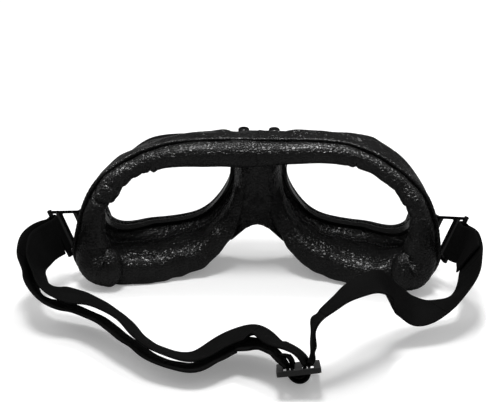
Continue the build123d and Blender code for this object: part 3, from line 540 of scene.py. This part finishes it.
def face_roll(side):
    """Half of the padded roll: rings of radius R(s, a) round the route, closed at the tucked end.

    R is the roll's radius with soft lumps, folds gathered on the eye side, deep pinches at the
    temple and crescents round the end."""
    steps, around = 640, 84
    shares = np.linspace(0, 1, steps)
    route, out, length, base, _, _ = roll_middle(side, shares)
    total = length[-1]
    s = length[:, None]
    a = circle(around)[None, :]
    seed = 5 if side > 0 else 9
    inner = np.clip(-np.sin(a), 0, 1)
    face = np.clip(np.cos(a), 0, 1)
    # Soft lumps, gathers and fine creases
    late = smoothstep(34, 60, s)
    radius = base[:, None] * (1 - 0.08 * face)
    radius += 0.14 * waves(s, 5 * np.cos(a), 20, seed=seed)
    radius += 0.14 * late * waves(s, 6 * np.sin(a), 10, seed=seed + 1)
    gather = creases(s, 3.5 * np.cos(a), 9.0, 10, seed=seed + 2) ** 5
    radius -= gather * (0.05 + 0.10 * face + 0.34 * late * (0.25 + inner))
    fine = creases(s * 0.8, base[:, None] * a, 3.0, seed=seed + 3) ** 6
    radius += 0.03 * fine * (0.3 + face)
    # Small puckers along the seam with the band
    drift = 0.7 * np.sin(3 * a) + 0.9 * waves(s, 4 * a, 9, seed=seed + 6)
    patch = 0.45 + 0.55 * np.clip(waves(s, 3 * a, 11, seed=seed + 7), -0.6, 1)
    radius += 0.05 * patch * np.sin(2 * np.pi * (s + drift) / 1.8) * np.clip(np.sin(a), 0, 1)
    for centre, width, depth, lean in PINCHES[side]:
        line = centre + lean * np.cos(a) + 0.6 * np.sin(3 * a)
        radius -= depth * bump(s, line, width) * (0.25 + 0.75 * inner + 0.35 * face)
        radius += depth * 0.55 * bump(s, line - 2.6 * width, 1.6 * width) * (inner + 0.5 * face)
    # Crescents and wrinkles round the tucked end, and its rounded close
    tuck = smoothstep(total - 34, total - 16, s)
    crescent = creases(s + 3.5 * np.cos(a + 0.5), base[:, None] * 0.25 * a, 4.2, 8, seed=seed + 4)
    radius -= 0.5 * tuck * crescent**4 * (0.3 + face)
    wrinkle = np.sin(2 * np.pi * (s - 7 * np.cos(a) ** 2 + 0.8 * np.sin(2 * a)) / 4.4)
    radius += 0.42 * tuck * face * (1 - np.abs(wrinkle)) ** 2
    reach = 9.0
    close = np.sqrt(np.clip(1 - ((s - (total - reach)) / reach).clip(0, 1) ** 2.4, 0.0004, 1))
    radius = radius * close
    rows = route[:, None] + out[:, None] * (radius * np.sin(a))[..., None]
    rows[..., 1] -= radius * np.cos(a) * (1 - 0.28 * smoothstep(100, 126, s))
    rows[..., 2] = np.maximum(rows[..., 2], FLOOR_GAP + 0.02 * waves(s, a, 6))
    return dress(tube(SIDES[side] + "_padded_roll", flip(rows, side)), "grained_leather")


def outline(shares):
    """Places on the frame's outline as x and z, ways out from the eye, and the whole outline."""
    points = np.array(OUTLINE) * (EYE_WIDTH, EYE_HEIGHT) + (NOSE_HALF, FRAME_LIFT)
    dense = spline(points, 1200, closed=True)
    count = len(dense)
    run = np.roll(dense, -1, axis=0) - np.roll(dense, 1, axis=0)
    out = unit(np.stack([run[:, 1], -run[:, 0]], axis=1))
    middle = np.array([NOSE_HALF + EYE_WIDTH / 2, FRAME_LIFT + EYE_HEIGHT / 2])
    if np.sum(out * (dense - middle)) < 0:
        out = -out
    at = np.asarray(shares) * count
    low = np.floor(at).astype(int) % count
    rest = (at - np.floor(at))[:, None]
    pick = dense[low] * (1 - rest) + dense[(low + 1) % count] * rest
    return pick, unit(out[low] * (1 - rest) + out[(low + 1) % count] * rest), dense


def frame_back_at(x):
    """Depth of the frame's back plane at x, which turns back beyond the bend."""
    return FRAME_BACK - np.maximum(x - BEND_PLACE, 0) * np.tan(BEND_ANGLE)


def wall_feet(route, out):
    """Distance from the roll's route to the frame's outline, measured along out."""
    dense = outline([0])[2]
    feet = []
    for point, way in zip(route[:, [0, 2]], out[:, [0, 2]]):
        gap = dense - point
        along = gap @ way
        off = np.abs(gap @ np.array([-way[1], way[0]]))
        near = (off < 0.6) & (along < ROLL_RADIUS)
        feet.append(along[near].max())
    return soften(feet, np.ones(9))


def side_wall(side):
    """Leather band from the frame back to the roll, with a piped seam along its back edge.

    Each ring runs over the outer face, round the piping and back along the lining; the outer face
    bellies by a half sine."""
    steps = 300
    shares = np.linspace(0, WALL_END, steps)
    route, _ = roll_route(shares)
    middle, out, s, radius, piping, belly = roll_middle(side, shares)
    beside_nose = 11.5
    kept = np.maximum(route, (beside_nose, -np.inf, -np.inf))
    foot = np.maximum(wall_feet(kept, out), -3.2 - 8 * smoothstep(60, 100, s))
    back = frame_back_at(route[:, 0] + out[:, 0] * foot) - 0.35
    shift = np.sum((middle - route) * out, axis=1)
    turn_in = smoothstep(40, 80, s)
    ends = 1 - smoothstep(s[-1] - 12, s[-1], s)
    edge = shift + radius * (0.93 + 0.07 * turn_in) + piping * ends - 1.2 * (1 - ends)
    seam = np.stack([edge, middle[:, 1] + 4.3 * (1 - turn_in) + 1.6 * turn_in], axis=1)
    start = np.stack([foot - 0.1, back], axis=1)
    t = np.linspace(0, 1, 30)[None, :]
    seed = 31 + side
    arch = np.sin(np.pi * t ** 0.55)
    between = np.sin(np.pi * t)
    lift = belly[:, None] * arch + 0.2 * waves(s[:, None], 26 * t, 13, seed=seed) * between
    fold = creases(s[:, None], 8 * t, 7.0, 12, seed=seed + 5) ** 5
    lift = lift - 0.16 * fold * between + 0.6 * bump(t, 0.955, 0.04)
    run = seam - start
    square = unit(np.stack([run[:, 1], -run[:, 0]], axis=1))
    square *= np.where(square[:, :1] < 0, -1, 1)
    outer = start[:, None] + run[:, None] * t[..., None] + square[:, None] * lift[..., None]
    turn = np.linspace(0, 1, 14)[None, 1:-1] * np.pi
    hide, stitch = 1.3, 2.1
    bead = 0.95 + 0.05 * np.sin(2 * np.pi * s / stitch)[:, None]
    along = unit(run)
    centre = seam - square * 0.2
    roundel = centre[:, None] + square[:, None] * (bead * np.cos(turn))[..., None]
    roundel += along[:, None] * (bead * np.sin(turn))[..., None]
    back_run = outer[:, ::-1] - square[:, None] * hide
    inside = radius * 0.35
    joint = np.stack([shift + inside, middle[:, 1] + inside], axis=1)[:, None]
    section = np.concatenate([outer, roundel, joint, back_run], axis=1)
    rows = route[:, None] * (1, 0, 1) + out[:, None] * section[..., :1]
    rows[..., 1] = section[..., 1]
    return dress(tube(SIDES[side] + "_side_band", flip(rows, side)), "grained_leather")


def cheek_profile(reach, face, back):
    """Cushion sections as reach away from the frame and depth, one closed ring a station."""
    deep = back - face
    zero = 0 * reach
    corners = [
        (zero - 2.0, back - 0.4), (zero + 0.3, back - 0.6), (reach * 0.50, back - deep * 0.05),
        (reach * 0.88, back - deep * 0.20), (reach, back - deep * 0.42),
        (reach, face + deep * 0.28), (reach, face + deep * 0.10),
        (reach * 0.90, face + deep * 0.015), (reach * 0.70, face), (reach * 0.46, face),
        (reach * 0.24, face + deep * 0.03), (reach * 0.07, face + deep * 0.12),
        (reach * -0.01, face + deep * 0.26), (zero - 0.3, face + deep * 0.42),
        (zero + 0.2, face + deep * 0.60), (zero + 0.3, face + deep * 0.76),
        (zero - 0.5, face + deep * 0.87), (zero - 1.9, face + deep * 0.93),
    ]
    return np.stack([np.stack(corner, axis=-1) for corner in corners], axis=1)


def cheek_rows(side):
    """Surface of a cheek cushion as rings along the frame's lower edge, and its way outwards.

    The surface moves along its normal by soft noise, by long folds across the pad, and by fine
    creases that are strongest on the face side. It is flat where it stands."""
    steps, around = 300, 144
    table = np.array(CHEEK_STATIONS)[::-1]
    share = np.linspace(table[0, 0], table[-1, 0], steps)
    window = np.hanning(35)
    reach, face = (
        soften(np.interp(share, table[:, 0], column), window) for column in table.T[1:]
    )
    reach = reach + (2.8 if side > 0 else 1.6) * bump(share, 0.895, 0.045)
    at, way, _ = outline(share)
    profile = cheek_profile(reach, face, frame_back_at(at[:, 0]))
    rings = np.stack([spline(ring, around, closed=True) for ring in profile])
    centre = rings.mean(axis=1, keepdims=True)
    close = rounded_ends(steps, 18, 0.0009)[:, None, None]
    rings = centre + (rings - centre) * close
    rows = np.zeros((steps, around, 3))
    rows[..., 0] = at[:, None, 0] + way[:, None, 0] * rings[..., 0]
    rows[..., 1] = rings[..., 1]
    rows[..., 2] = at[:, None, 1] + way[:, None, 1] * rings[..., 0]
    along = np.gradient(rows, axis=0)
    across = (np.roll(rows, -1, axis=1) - np.roll(rows, 1, axis=1)) / 2
    normal = np.cross(along, across)
    normal /= np.linalg.norm(normal, axis=-1, keepdims=True) + 1e-9
    if np.sum(normal * (rows - rows.mean(axis=1, keepdims=True))) < 0:
        normal = -normal
    s = np.cumsum(np.linalg.norm(np.diff(at, axis=0, prepend=at[:1]), axis=1))[:, None]
    girth = 66
    a = np.linspace(0, 1, around, endpoint=False)[None, :] * girth
    seed = 51 if side > 0 else 57
    soft = 0.38 * waves(s, a, 19, seed=seed) + 0.16 * waves(s, a, 8, seed=seed + 1)
    fold = creases(s, a * 0.7, 13.0, 10, seed=seed + 4) ** 6
    crackle = creases(s * 0.8, a, 3.4, seed=seed + 2) ** 5
    face_side = smoothstep(0.36, 0.55, a / girth) * (1 - smoothstep(0.86, 0.96, a / girth))
    lift = soft + crackle * (0.02 + 0.03 * face_side) - fold * (0.08 + 0.20 * face_side)
    lift -= 0.25 * bump(a / girth, SEAM_PLACE, 0.012)
    frame_edge = 1 - np.clip(bump(a / girth, 0, 0.07) + bump(a / girth, 1, 0.07), 0, 1)
    rows += normal * (lift * frame_edge * close[..., 0])[..., None]
    floor, squash = FLOOR_GAP + 0.03 * waves(s, a, 5), 0.9
    z = rows[..., 2]
    flat = floor + squash * np.exp((z - floor - squash) / squash)
    rows[..., 2] = np.where(z < floor + squash, flat, z)
    rows[..., 1] = np.minimum(rows[..., 1], frame_back_at(rows[..., 0]) - 0.12)
    return rows, normal


def cheek_cushion(side):
    """The cushion's skin, and a row of stitches along its edge by the frame."""
    rows, normal = cheek_rows(side)
    name = SIDES[side]
    pad = dress(tube(name + "_cheek_pad", flip(rows, side)), "grained_leather")
    column = int(rows.shape[1] * SEAM_PLACE)
    line, way = rows[40:235, column], normal[40:235, column]
    seam = stitches(name + "_cheek_stitches", flip(line + way * 0.26, side), flip(way, side))
    return pad, seam


def stitches(name, line, normals):
    """Thread stitches along a line, each one a closed grain.

    A grain is a stretched ball, longest along the line and centred on it."""
    pitch, half_width, half_height, half_long, pole = 1.7, 0.30, 0.24, 0.62, 0.66
    count, around = 7, 8
    length = lengths(line)
    at = np.arange(pitch, length[-1] - pitch, pitch)
    middle = sample(at, length, line)[:, None, None]
    up = unit(sample(at, length, normals))[:, None, None]
    run = unit(sample(at + 0.3, length, line)[:, None, None] - middle)
    across = np.cross(up, run) * half_width
    a = circle(around)[:, None]
    tilt = np.linspace(0, np.pi, count + 2)[1:-1, None, None]
    rings = np.sin(tilt) * (np.cos(a) * across + np.sin(a) * up * half_height)
    balls = middle + rings - np.cos(tilt) * run * half_long
    ends = np.concatenate([middle - run * pole, middle + run * pole], axis=2)[:, 0]
    verts = np.concatenate([balls.reshape(len(at), -1, 3), ends], axis=1)
    first = np.arange(len(at))[:, None, None] * verts.shape[1]
    faces = [(first + part).reshape(-1, part.shape[1]) for part in skin(count, around)]
    verts = verts.reshape(-1, 3)
    seam = mesh_object(name, place(verts), outward(verts, *faces))
    return dress(seam, "grained_leather", THREAD)


def nose_saddle(side):
    """Half of the leather saddle between the eyes: rings from the nose arch up to the brow.

    A ring has the half width and the crown depth of the table at its height; its sides fall away
    towards the frames, and its lower edge is a rounded gable over the arch."""
    steps, around = 180, 160
    t = np.linspace(0, 1, steps)
    lowest = ARCH_TOP - 3.0
    height = lowest + (SADDLE_TOP - lowest) * t
    table = np.array(NOSE_SECTIONS)
    width, face = (np.interp(height, table[:, 0], column) for column in table.T[1:])
    a = circle(around)
    deep = np.clip(np.cos(a), 0, 1) ** 0.75
    front = FRAME_BACK - 0.4
    close = rounded_ends(steps, 9, 0.01)
    x = (width * close)[:, None] * np.sin(a)[None]
    y = front - ((front - face) * (0.35 + 0.65 * close))[:, None] * deep[None]
    y = y + 0.3 * np.clip(-np.cos(a), 0, 1)[None]
    x = np.maximum(x, -MIDDLE_OVERLAP)
    fall = 1.42 if side > 0 else 1.38
    gable_half = 14.0
    out = np.minimum(np.abs(x), gable_half)
    low = ARCH_TOP - fall * (np.sqrt(out**2 + ARCH_ROUND**2) - ARCH_ROUND)
    z = low + (SADDLE_TOP - low) * t[:, None]
    lift = 0.2 * waves(x, z, 13, seed=71) + 0.12 * waves(x, z, 5, seed=72)
    furrow = bump(np.abs(x), 7.0 + 1.2 * np.sin(z / 5.0), 0.9) * (0.45 + 0.3 * np.sin(z / 3.1))
    wrinkle = creases(x * 0.7, z, 6.5, 12, seed=73) ** 5
    y = y - (lift - furrow - 0.25 * wrinkle) * deep[None]
    rows = np.stack([x, y, z], axis=-1)
    return dress(tube(SIDES[side] + "_nose_saddle", flip(rows, side)), "grained_leather")


# ---- strap ----

STRAP_WIDTH, STRAP_THICKNESS = 20.0, 1.5
# x, y and z of the strap's middle as shares of HALF_WIDTH, then the heading and the lift of its
# width in degrees
LOWER_RUN = [
    (-1.137, -0.132, 0.289, -75, 68), (-1.176, -0.210, 0.286, -80, 60),
    (-1.188, -0.320, 0.262, -40, 50), (-1.172, -0.392, 0.235, -22, 43),
    (-1.148, -0.458, 0.201, -2, 32), (-1.092, -0.535, 0.176, 5, 26),
    (-1.019, -0.571, 0.152, 7, 20), (-0.945, -0.582, 0.134, 6, 20),
    (-0.862, -0.610, 0.122, 6, 22), (-0.777, -0.668, 0.116, 6, 23),
    (-0.661, -0.780, 0.106, 5, 24), (-0.551, -0.884, 0.090, 3, 24),
    (-0.450, -0.960, 0.075, 0, 25), (-0.350, -0.995, 0.066, 0, 24),
    (-0.269, -1.003, 0.066, -3, 20), (-0.210, -0.958, 0.074, -2, 14),
    (-0.139, -0.900, 0.090, 2, 14), (-0.060, -0.872, 0.111, 2, 14),
    (0.004, -0.902, 0.127, -1, 18), (0.057, -0.933, 0.133, -2, 23),
    (0.094, -0.969, 0.133, -3, 24), (0.121, -1.000, 0.127, -5, 26),
    (0.140, -1.027, 0.120, -5, 28),
]
UPPER_RUN = [
    (-1.102, -0.160, 0.291, -80, 68), (-1.137, -0.222, 0.283, -80, 62),
    (-1.151, -0.300, 0.266, -36, 56), (-1.130, -0.390, 0.246, -17, 45),
    (-1.094, -0.456, 0.228, -2, 34), (-1.045, -0.510, 0.212, 3, 20),
    (-0.969, -0.545, 0.196, 7, 10), (-0.886, -0.578, 0.186, 7, 12),
    (-0.807, -0.612, 0.180, 6, 19), (-0.732, -0.662, 0.174, 6, 22),
    (-0.636, -0.752, 0.162, 6, 23), (-0.541, -0.868, 0.142, 3, 25),
    (-0.448, -0.935, 0.120, 3, 25), (-0.358, -0.958, 0.100, 2, 24),
    (-0.284, -0.952, 0.092, -1, 20), (-0.216, -0.918, 0.104, 2, 16),
    (-0.143, -0.862, 0.124, 6, 15), (-0.066, -0.834, 0.148, 5, 14),
    (-0.003, -0.837, 0.165, 2, 15), (0.053, -0.867, 0.169, -3, 21),
    (0.107, -0.926, 0.165, -6, 22), (0.162, -0.957, 0.159, -6, 24),
    (0.209, -0.992, 0.151, -7, 26), (0.237, -1.023, 0.138, -7, 28),
]
RIGHT_RUN = [
    (1.120, -0.143, 0.291, 80, 68), (1.125, -0.212, 0.290, 75, 64),
    (1.115, -0.314, 0.272, 48, 53), (1.090, -0.405, 0.238, 34, 45),
    (1.048, -0.470, 0.200, 22, 38), (0.978, -0.521, 0.172, 14, 22), (0.890, -0.566, 0.156, 6, 0),
    (0.791, -0.602, 0.170, -6, -14), (0.722, -0.628, 0.232, -12, -4),
    (0.664, -0.670, 0.310, -15, 10), (0.606, -0.747, 0.378, -12, 14),
    (0.536, -0.818, 0.411, -8, 12), (0.464, -0.891, 0.417, -5, 12),
    (0.402, -0.941, 0.402, -1, 15), (0.353, -0.977, 0.378, 2, 18), (0.314, -0.998, 0.349, 3, 21),
    (0.291, -1.006, 0.307, 4, 21), (0.288, -1.003, 0.246, 4, 24), (0.286, -1.008, 0.185, 3, 26),
    (0.285, -1.021, 0.144, 3, 26),
]
TAIL_RUN = [(0.158, -0.999, 0.144, -5, 26), (0.179, -1.016, 0.130, -5, 28)]

LOOP_LEAN, LOOP_BACK = np.radians(20.0), np.radians(61.0)
LOOP_REACH, LOOP_RISE, LOOP_BAR_RADIUS, STRAP_LEG = 19.5, 5.0, 1.2, 3.0
BEND_INNER = LOOP_BAR_RADIUS + 0.15
SLIDER_TILT, SLIDER_BANK = np.radians(25.0), np.radians(7.4)
SLIDER_PLACE = np.array([0.221, -1.047, 0.098]) * HALF_WIDTH
TAIL_BEND, MAIN_BEND, BEND_LEG = 2.15, 4.0, 1.4
# Weight of the width directions beside the points in one spline
WIDTH_WEIGHT = 12
# Pieces of a run, as shares of its length
RUN_PIECES = [
    ("_loop_end", 0, 0.14), ("_temple", 0.14, 0.34), ("_back", 0.34, 0.84),
    ("_slider_end", 0.84, 1),
]
WHOLE = [("", 0, 1)]

loop_axis = np.array([np.sin(LOOP_LEAN), 0, np.cos(LOOP_LEAN)])
loop_back = np.array([np.cos(LOOP_BACK), -np.sin(LOOP_BACK), 0])
loop_out = unit(loop_back - loop_axis * (loop_back @ loop_axis))
loop_face = np.cross(loop_axis, loop_out)
loop_hinge = (np.array(joints["right_loop_swing"]["pos_m"]) / MM) - SHIFT
loop_bar = loop_hinge + loop_out * LOOP_REACH + loop_axis * LOOP_RISE

slider_up = np.array([0, np.sin(SLIDER_TILT), np.cos(SLIDER_TILT)])
slider_across = np.array([1.0, 0, 0]) * np.cos(SLIDER_BANK) + slider_up * np.sin(SLIDER_BANK)
slider_away = np.array([-1.0, 0, 0]) * np.sin(SLIDER_BANK) + slider_up * np.cos(SLIDER_BANK)
slider_along = np.cross(slider_away, slider_across)


def stations(table):
    """Middles and width directions of a run's stations."""
    table = np.array(table)
    heading, lift = np.radians(table[:, 3]), np.radians(table[:, 4])
    level = np.cos(lift)
    width = np.stack([level * np.sin(heading), -level * np.cos(heading), np.sin(lift)], axis=1)
    return table[:, :3] * HALF_WIDTH, width


def turn(middle, across, face, width, radius, leg):
    """Stations of a strap's turn: a leg, a half circle of radius round the middle, and a leg.

    The legs leave along across, and face points from the middle to the first leg."""
    reach = radius + STRAP_THICKNESS / 2
    angle = np.linspace(0, np.pi, 15)[:, None]
    arc = middle + face * reach * np.cos(angle) - across * reach * np.sin(angle)
    first, last = middle + face * reach + across * leg, middle - face * reach + across * leg
    points = np.concatenate([[first], arc, [last]])
    return points, np.repeat(width[None], len(points), axis=0)


def join(*runs):
    """Stations of several runs, one after the other."""
    return np.concatenate([run[0] for run in runs]), np.concatenate([run[1] for run in runs])


def loop_turn(side):
    """Stations round a loop's bar, from the outer leg to the inner one."""
    points, widths = turn(loop_bar, loop_out, loop_face, loop_axis, BEND_INNER, STRAP_LEG)
    return flip(points, side), flip(widths, side)


def slider_turn(radius):
    """Stations under the slider's middle bar, from its left leg to its right one."""
    return turn(SLIDER_PLACE, slider_away, -slider_across, -slider_along, radius, BEND_LEG)


def place_at(share, length):
    """Index of the station nearest to a share of the whole length."""
    return int(np.argmin(np.abs(length - share * length[-1])))


def ribbon(name, points, widths, pieces):
    """Webbing along stations, as closed skins between the shares of its length in pieces.

    A section is a flat band with rounded selvedges, a touch thicker at its edges; its face is
    square to the travel and to the width. Returns the skins, the middle line and its length."""
    count, around, selvedge, along, through = max(60, len(points) * 8), 52, 8.8, 0.35, 0.55
    both = np.concatenate([points, widths * WIDTH_WEIGHT], axis=1)
    both = spline(both, np.linspace(0, 1, count))
    centre, width = both[:, :3], unit(both[:, 3:])
    travel = unit(np.gradient(centre, axis=0))
    width = unit(width - travel * np.sum(width * travel, axis=1, keepdims=True))
    face = unit(np.cross(travel, width))
    length = lengths(centre)
    cos, sin = np.cos(circle(around)), np.sin(circle(around))
    flat = np.sign(cos) * np.abs(cos) ** along * STRAP_WIDTH / 2
    thick = np.sign(sin) * np.abs(sin) ** through * STRAP_THICKNESS / 2
    thick = thick * (0.86 + 0.14 * smoothstep(7.2, selvedge, np.abs(flat)))
    ripple = 0.10 * waves(length[:, None], flat[None], 14, seed=len(points))
    ripple = ripple * smoothstep(0, 8, np.abs(flat))
    rows = centre[:, None] + width[:, None] * flat[None, :, None]
    rows = rows + face[:, None] * (thick[None] + ripple)[..., None]
    girth = np.cumsum(
        np.hypot(np.diff(flat, prepend=flat[-1]), np.diff(thick, prepend=thick[-1]))
    )
    uv = np.stack(np.broadcast_arrays(length[:, None], girth[None]), axis=-1) * MM
    made = []
    for label, low, high in pieces:
        kept = slice(place_at(low, length), place_at(high, length) + 1)
        made.append(dress(tube(name + label, rows[kept], uv[kept]), "strap_webbing"))
    return made, centre, length


def end_of(run, first):
    """The single first or last station of a turn, to start or end a run with."""
    return (run[0][:1], run[1][:1]) if first else (run[0][-1:], run[1][-1:])


def strap():
    """The right, lower and upper runs, each cut in pieces; the back piece rides on the bridge and the others stay
    where they lie.
    """
    right_loop, left_loop = loop_turn(1), loop_turn(-1)
    main, tail = slider_turn(MAIN_BEND), slider_turn(TAIL_BEND)
    runs = {
        "right_run": (RIGHT_RUN, end_of(right_loop, True), end_of(main, False), "right"),
        "lower_run": (LOWER_RUN, end_of(left_loop, True), end_of(main, True), "left"),
        "upper_run": (UPPER_RUN, end_of(left_loop, False), end_of(tail, False), "left"),
    }
    for name, (table, start, finish, side) in runs.items():
        node = "strap_" + name
        points, widths = join(start, stations(table), finish)
        segments, centre, length = ribbon(node, points, widths, RUN_PIECES)
        blends = {
            "_loop_end": (side + "_loop", side + "_eye"), "_temple": (side + "_eye", "bridge"),
            "_slider_end": ("bridge", "slider"),
        }
        for segment, (label, low, high) in zip(segments, RUN_PIECES):
            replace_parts(segment, node)
            start, end = (place(centre[place_at(share, length)]) for share in (low, high))
            if label in blends:
                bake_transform(segment)
            else:
                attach(segment, "bridge")


def strap_piece(name, run, body, *nodes):
    """One skin along a run, which rides on a body in place of nodes."""
    piece = ribbon(name, *run, WHOLE)[0][0]
    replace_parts(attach(piece, body), *nodes)


def strap_turns():
    """The turns round the loop bars and under the slider, with the sewn flap and tail."""
    right_loop, left_loop = loop_turn(1), loop_turn(-1)
    points, widths = join(end_of(right_loop, True), stations(RIGHT_RUN))
    dense = spline(np.concatenate([points, widths * WIDTH_WEIGHT], axis=1), 400)
    length = lengths(dense[:, :3])
    at = np.array([6.0, 10.0, 14.0, 18.0])
    near = sample(at, length, dense)
    middle, width = near[:, :3], unit(near[:, 3:])
    ahead = sample(at + 0.5, length, dense[:, :3])
    face = unit(np.cross(ahead - middle, width))
    flap = (middle + face * (STRAP_THICKNESS + 0.3))[::-1], width[::-1]
    sewn = join(flap, (right_loop[0][::-1], right_loop[1][::-1]))
    strap_piece("right_strap_turn", sewn, "right_loop", "right_strap_bend", "strap_right_flap")
    strap_piece("left_strap_turn", left_loop, "left_loop", "left_strap_bend")
    main, tail = slider_turn(MAIN_BEND), slider_turn(TAIL_BEND)
    strap_piece("slider_main_turn", main, "slider", "slider_main_bend")
    strap_piece("slider_tail_turn", tail, "slider", "slider_tail_bend")
    strap_piece("sewn_tail", join(stations(TAIL_RUN), end_of(tail, True)), "slider", "strap_tail")


# ---- stage ----


# Strength of the white surroundings for the camera and through the lenses, for shine, and else
SEEN, SHINE, SURROUND = 1.0, 0.07, 0.32
# Name, place and target in metres, size in metres and power in watts of each lamp
LAMPS = [
    ("back_lamp", (0.05, 0.36, 1.05), (0, 0.02, 0.03), 0.18, 4.2),
    ("front_lamp", (-0.05, -0.12, 1.08), (0, 0.00, 0.03), 0.28, 6.5),
    ("left_lamp", (-0.80, 0.00, 0.80), (0, 0.00, 0.03), 0.8, 2.2),
    ("right_lamp", (0.80, 0.05, 0.80), (0, 0.00, 0.03), 0.8, 2.2),
]
FLOOR_HALF = 6.0


def surroundings():
    """White world, with its own strength for each kind of ray."""
    world = bpy.data.worlds.new("studio")
    bpy.context.scene.world = world
    world.use_nodes = True
    tree = world.node_tree
    light = tree.nodes["Background"]
    light.inputs["Color"].default_value = (1, 1, 1, 1)
    white, dim = (tree.nodes.new("ShaderNodeBackground") for _ in range(2))
    for node, strength in ((light, SURROUND), (white, SEEN), (dim, SHINE)):
        node.inputs["Strength"].default_value = strength
    path = tree.nodes.new("ShaderNodeLightPath")
    seen = tree.nodes.new("ShaderNodeMath")
    seen.operation = "MAXIMUM"
    gloss, mix = (tree.nodes.new("ShaderNodeMixShader") for _ in range(2))
    for source, target in (
        (path.outputs["Is Camera Ray"], seen.inputs[0]),
        (path.outputs["Is Transmission Ray"], seen.inputs[1]),
        (path.outputs["Is Glossy Ray"], gloss.inputs[0]),
        (light.outputs[0], gloss.inputs[1]), (dim.outputs[0], gloss.inputs[2]),
        (seen.outputs[0], mix.inputs[0]), (gloss.outputs[0], mix.inputs[1]),
        (white.outputs[0], mix.inputs[2]),
        (mix.outputs[0], tree.nodes["World Output"].inputs[0]),
    ):
        tree.links.new(source, target)


def stage():
    """White floor that keeps the shadow and is painted dark where glossy surfaces reflect it, white surroundings
    and four soft lamps.
    """
    surroundings()
    size = FLOOR_HALF
    corners = [(-size, -size, 0), (size, -size, 0), (size, size, 0), (-size, size, 0)]
    floor = mesh_object("floor", corners, [(0, 1, 2, 3)])
    g = Graph("floor_paper", Roughness=0.9, Specular_IOR_Level=0.1)
    glow = g.node("ShaderNodeLightPath", output="Is Camera Ray")
    fibre = g.noise(g.coordinates(), 0.004)
    # Painted shade: the floor turns near black for glossy rays, so its reflection in the leather and metal is
    # painted dark.
    shine = g.node("ShaderNodeLightPath", output="Is Glossy Ray")
    g.feed(Base_Color=g.mix((fibre * 0.02 + shine * 0.8).clamp(), (0.87,) * 3, (0.05,) * 3))
    g.shader.inputs["Emission Color"].default_value = (1, 1, 1, 1)
    g.tree.links.new((glow * 0.22).socket, g.shader.inputs["Emission Strength"])
    floor.data.materials.append(g.material)
    for row in LAMPS:
        lamp(*row)


def lamp(name, where, to, size, power):
    """A square soft lamp that faces a point."""
    data = bpy.data.lights.new(name, "AREA")
    data.size, data.energy = size, power
    thing = bpy.data.objects.new(name, data)
    bpy.context.scene.collection.objects.link(thing)
    look = unit(np.array(to) - np.array(where))
    thing.location = where
    thing.rotation_mode = "QUATERNION"
    thing.rotation_quaternion = Vector(look).to_track_quat("-Z", "Y")


CAMERA_TARGET, CAMERA_DISTANCE = (-7.3, 10, 40), 0.6
CAMERA_AZIMUTH, CAMERA_ELEVATION = np.radians(2.0), np.radians(25.0)
SENSOR_WIDTH, FOCAL_LENGTH = 36.0, 85.6


def camera():
    """The photograph's view: from the wearer's side, 25 degrees down, with a long lens."""
    level = np.cos(CAMERA_ELEVATION)
    back = np.array([
        np.sin(CAMERA_AZIMUTH) * level, -np.cos(CAMERA_AZIMUTH) * level, np.sin(CAMERA_ELEVATION),
    ])
    data = bpy.data.cameras.new("camera")
    data.sensor_width = SENSOR_WIDTH
    data.lens = FOCAL_LENGTH
    thing = bpy.data.objects.new("camera", data)
    bpy.context.scene.collection.objects.link(thing)
    thing.location = place(CAMERA_TARGET) + back * CAMERA_DISTANCE
    thing.rotation_mode = "QUATERNION"
    thing.rotation_quaternion = Vector(-back).to_track_quat("-Z", "Y")
    bpy.context.scene.camera = thing


def blend_to_eye(thing):
    """Bake a piece's place into its mesh, where it stays."""
    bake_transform(thing)


def leather_parts():
    """Rolls, bands, cushions and saddle; the cushions and their stitches ride on their eye pieces."""
    for side, name in SIDES.items():
        roll = face_roll(side)
        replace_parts(roll, name + "_face_roll", "brow_pad")
        blend_to_eye(roll)
        band = side_wall(side)
        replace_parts(band, name + "_side_wall", "brow_band")
        blend_to_eye(band)
        cushion, seam = cheek_cushion(side)
        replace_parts(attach(cushion, name + "_eye"), name + "_cheek_cushion")
        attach(seam, name + "_eye")
        saddle = nose_saddle(side)
        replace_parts(saddle, "nose_pad")
        blend_to_eye(saddle)


dress_frame()
camera()
stage()
leather_parts()
strap()
strap_turns()
bpy.context.scene.view_settings.view_transform = "Standard"
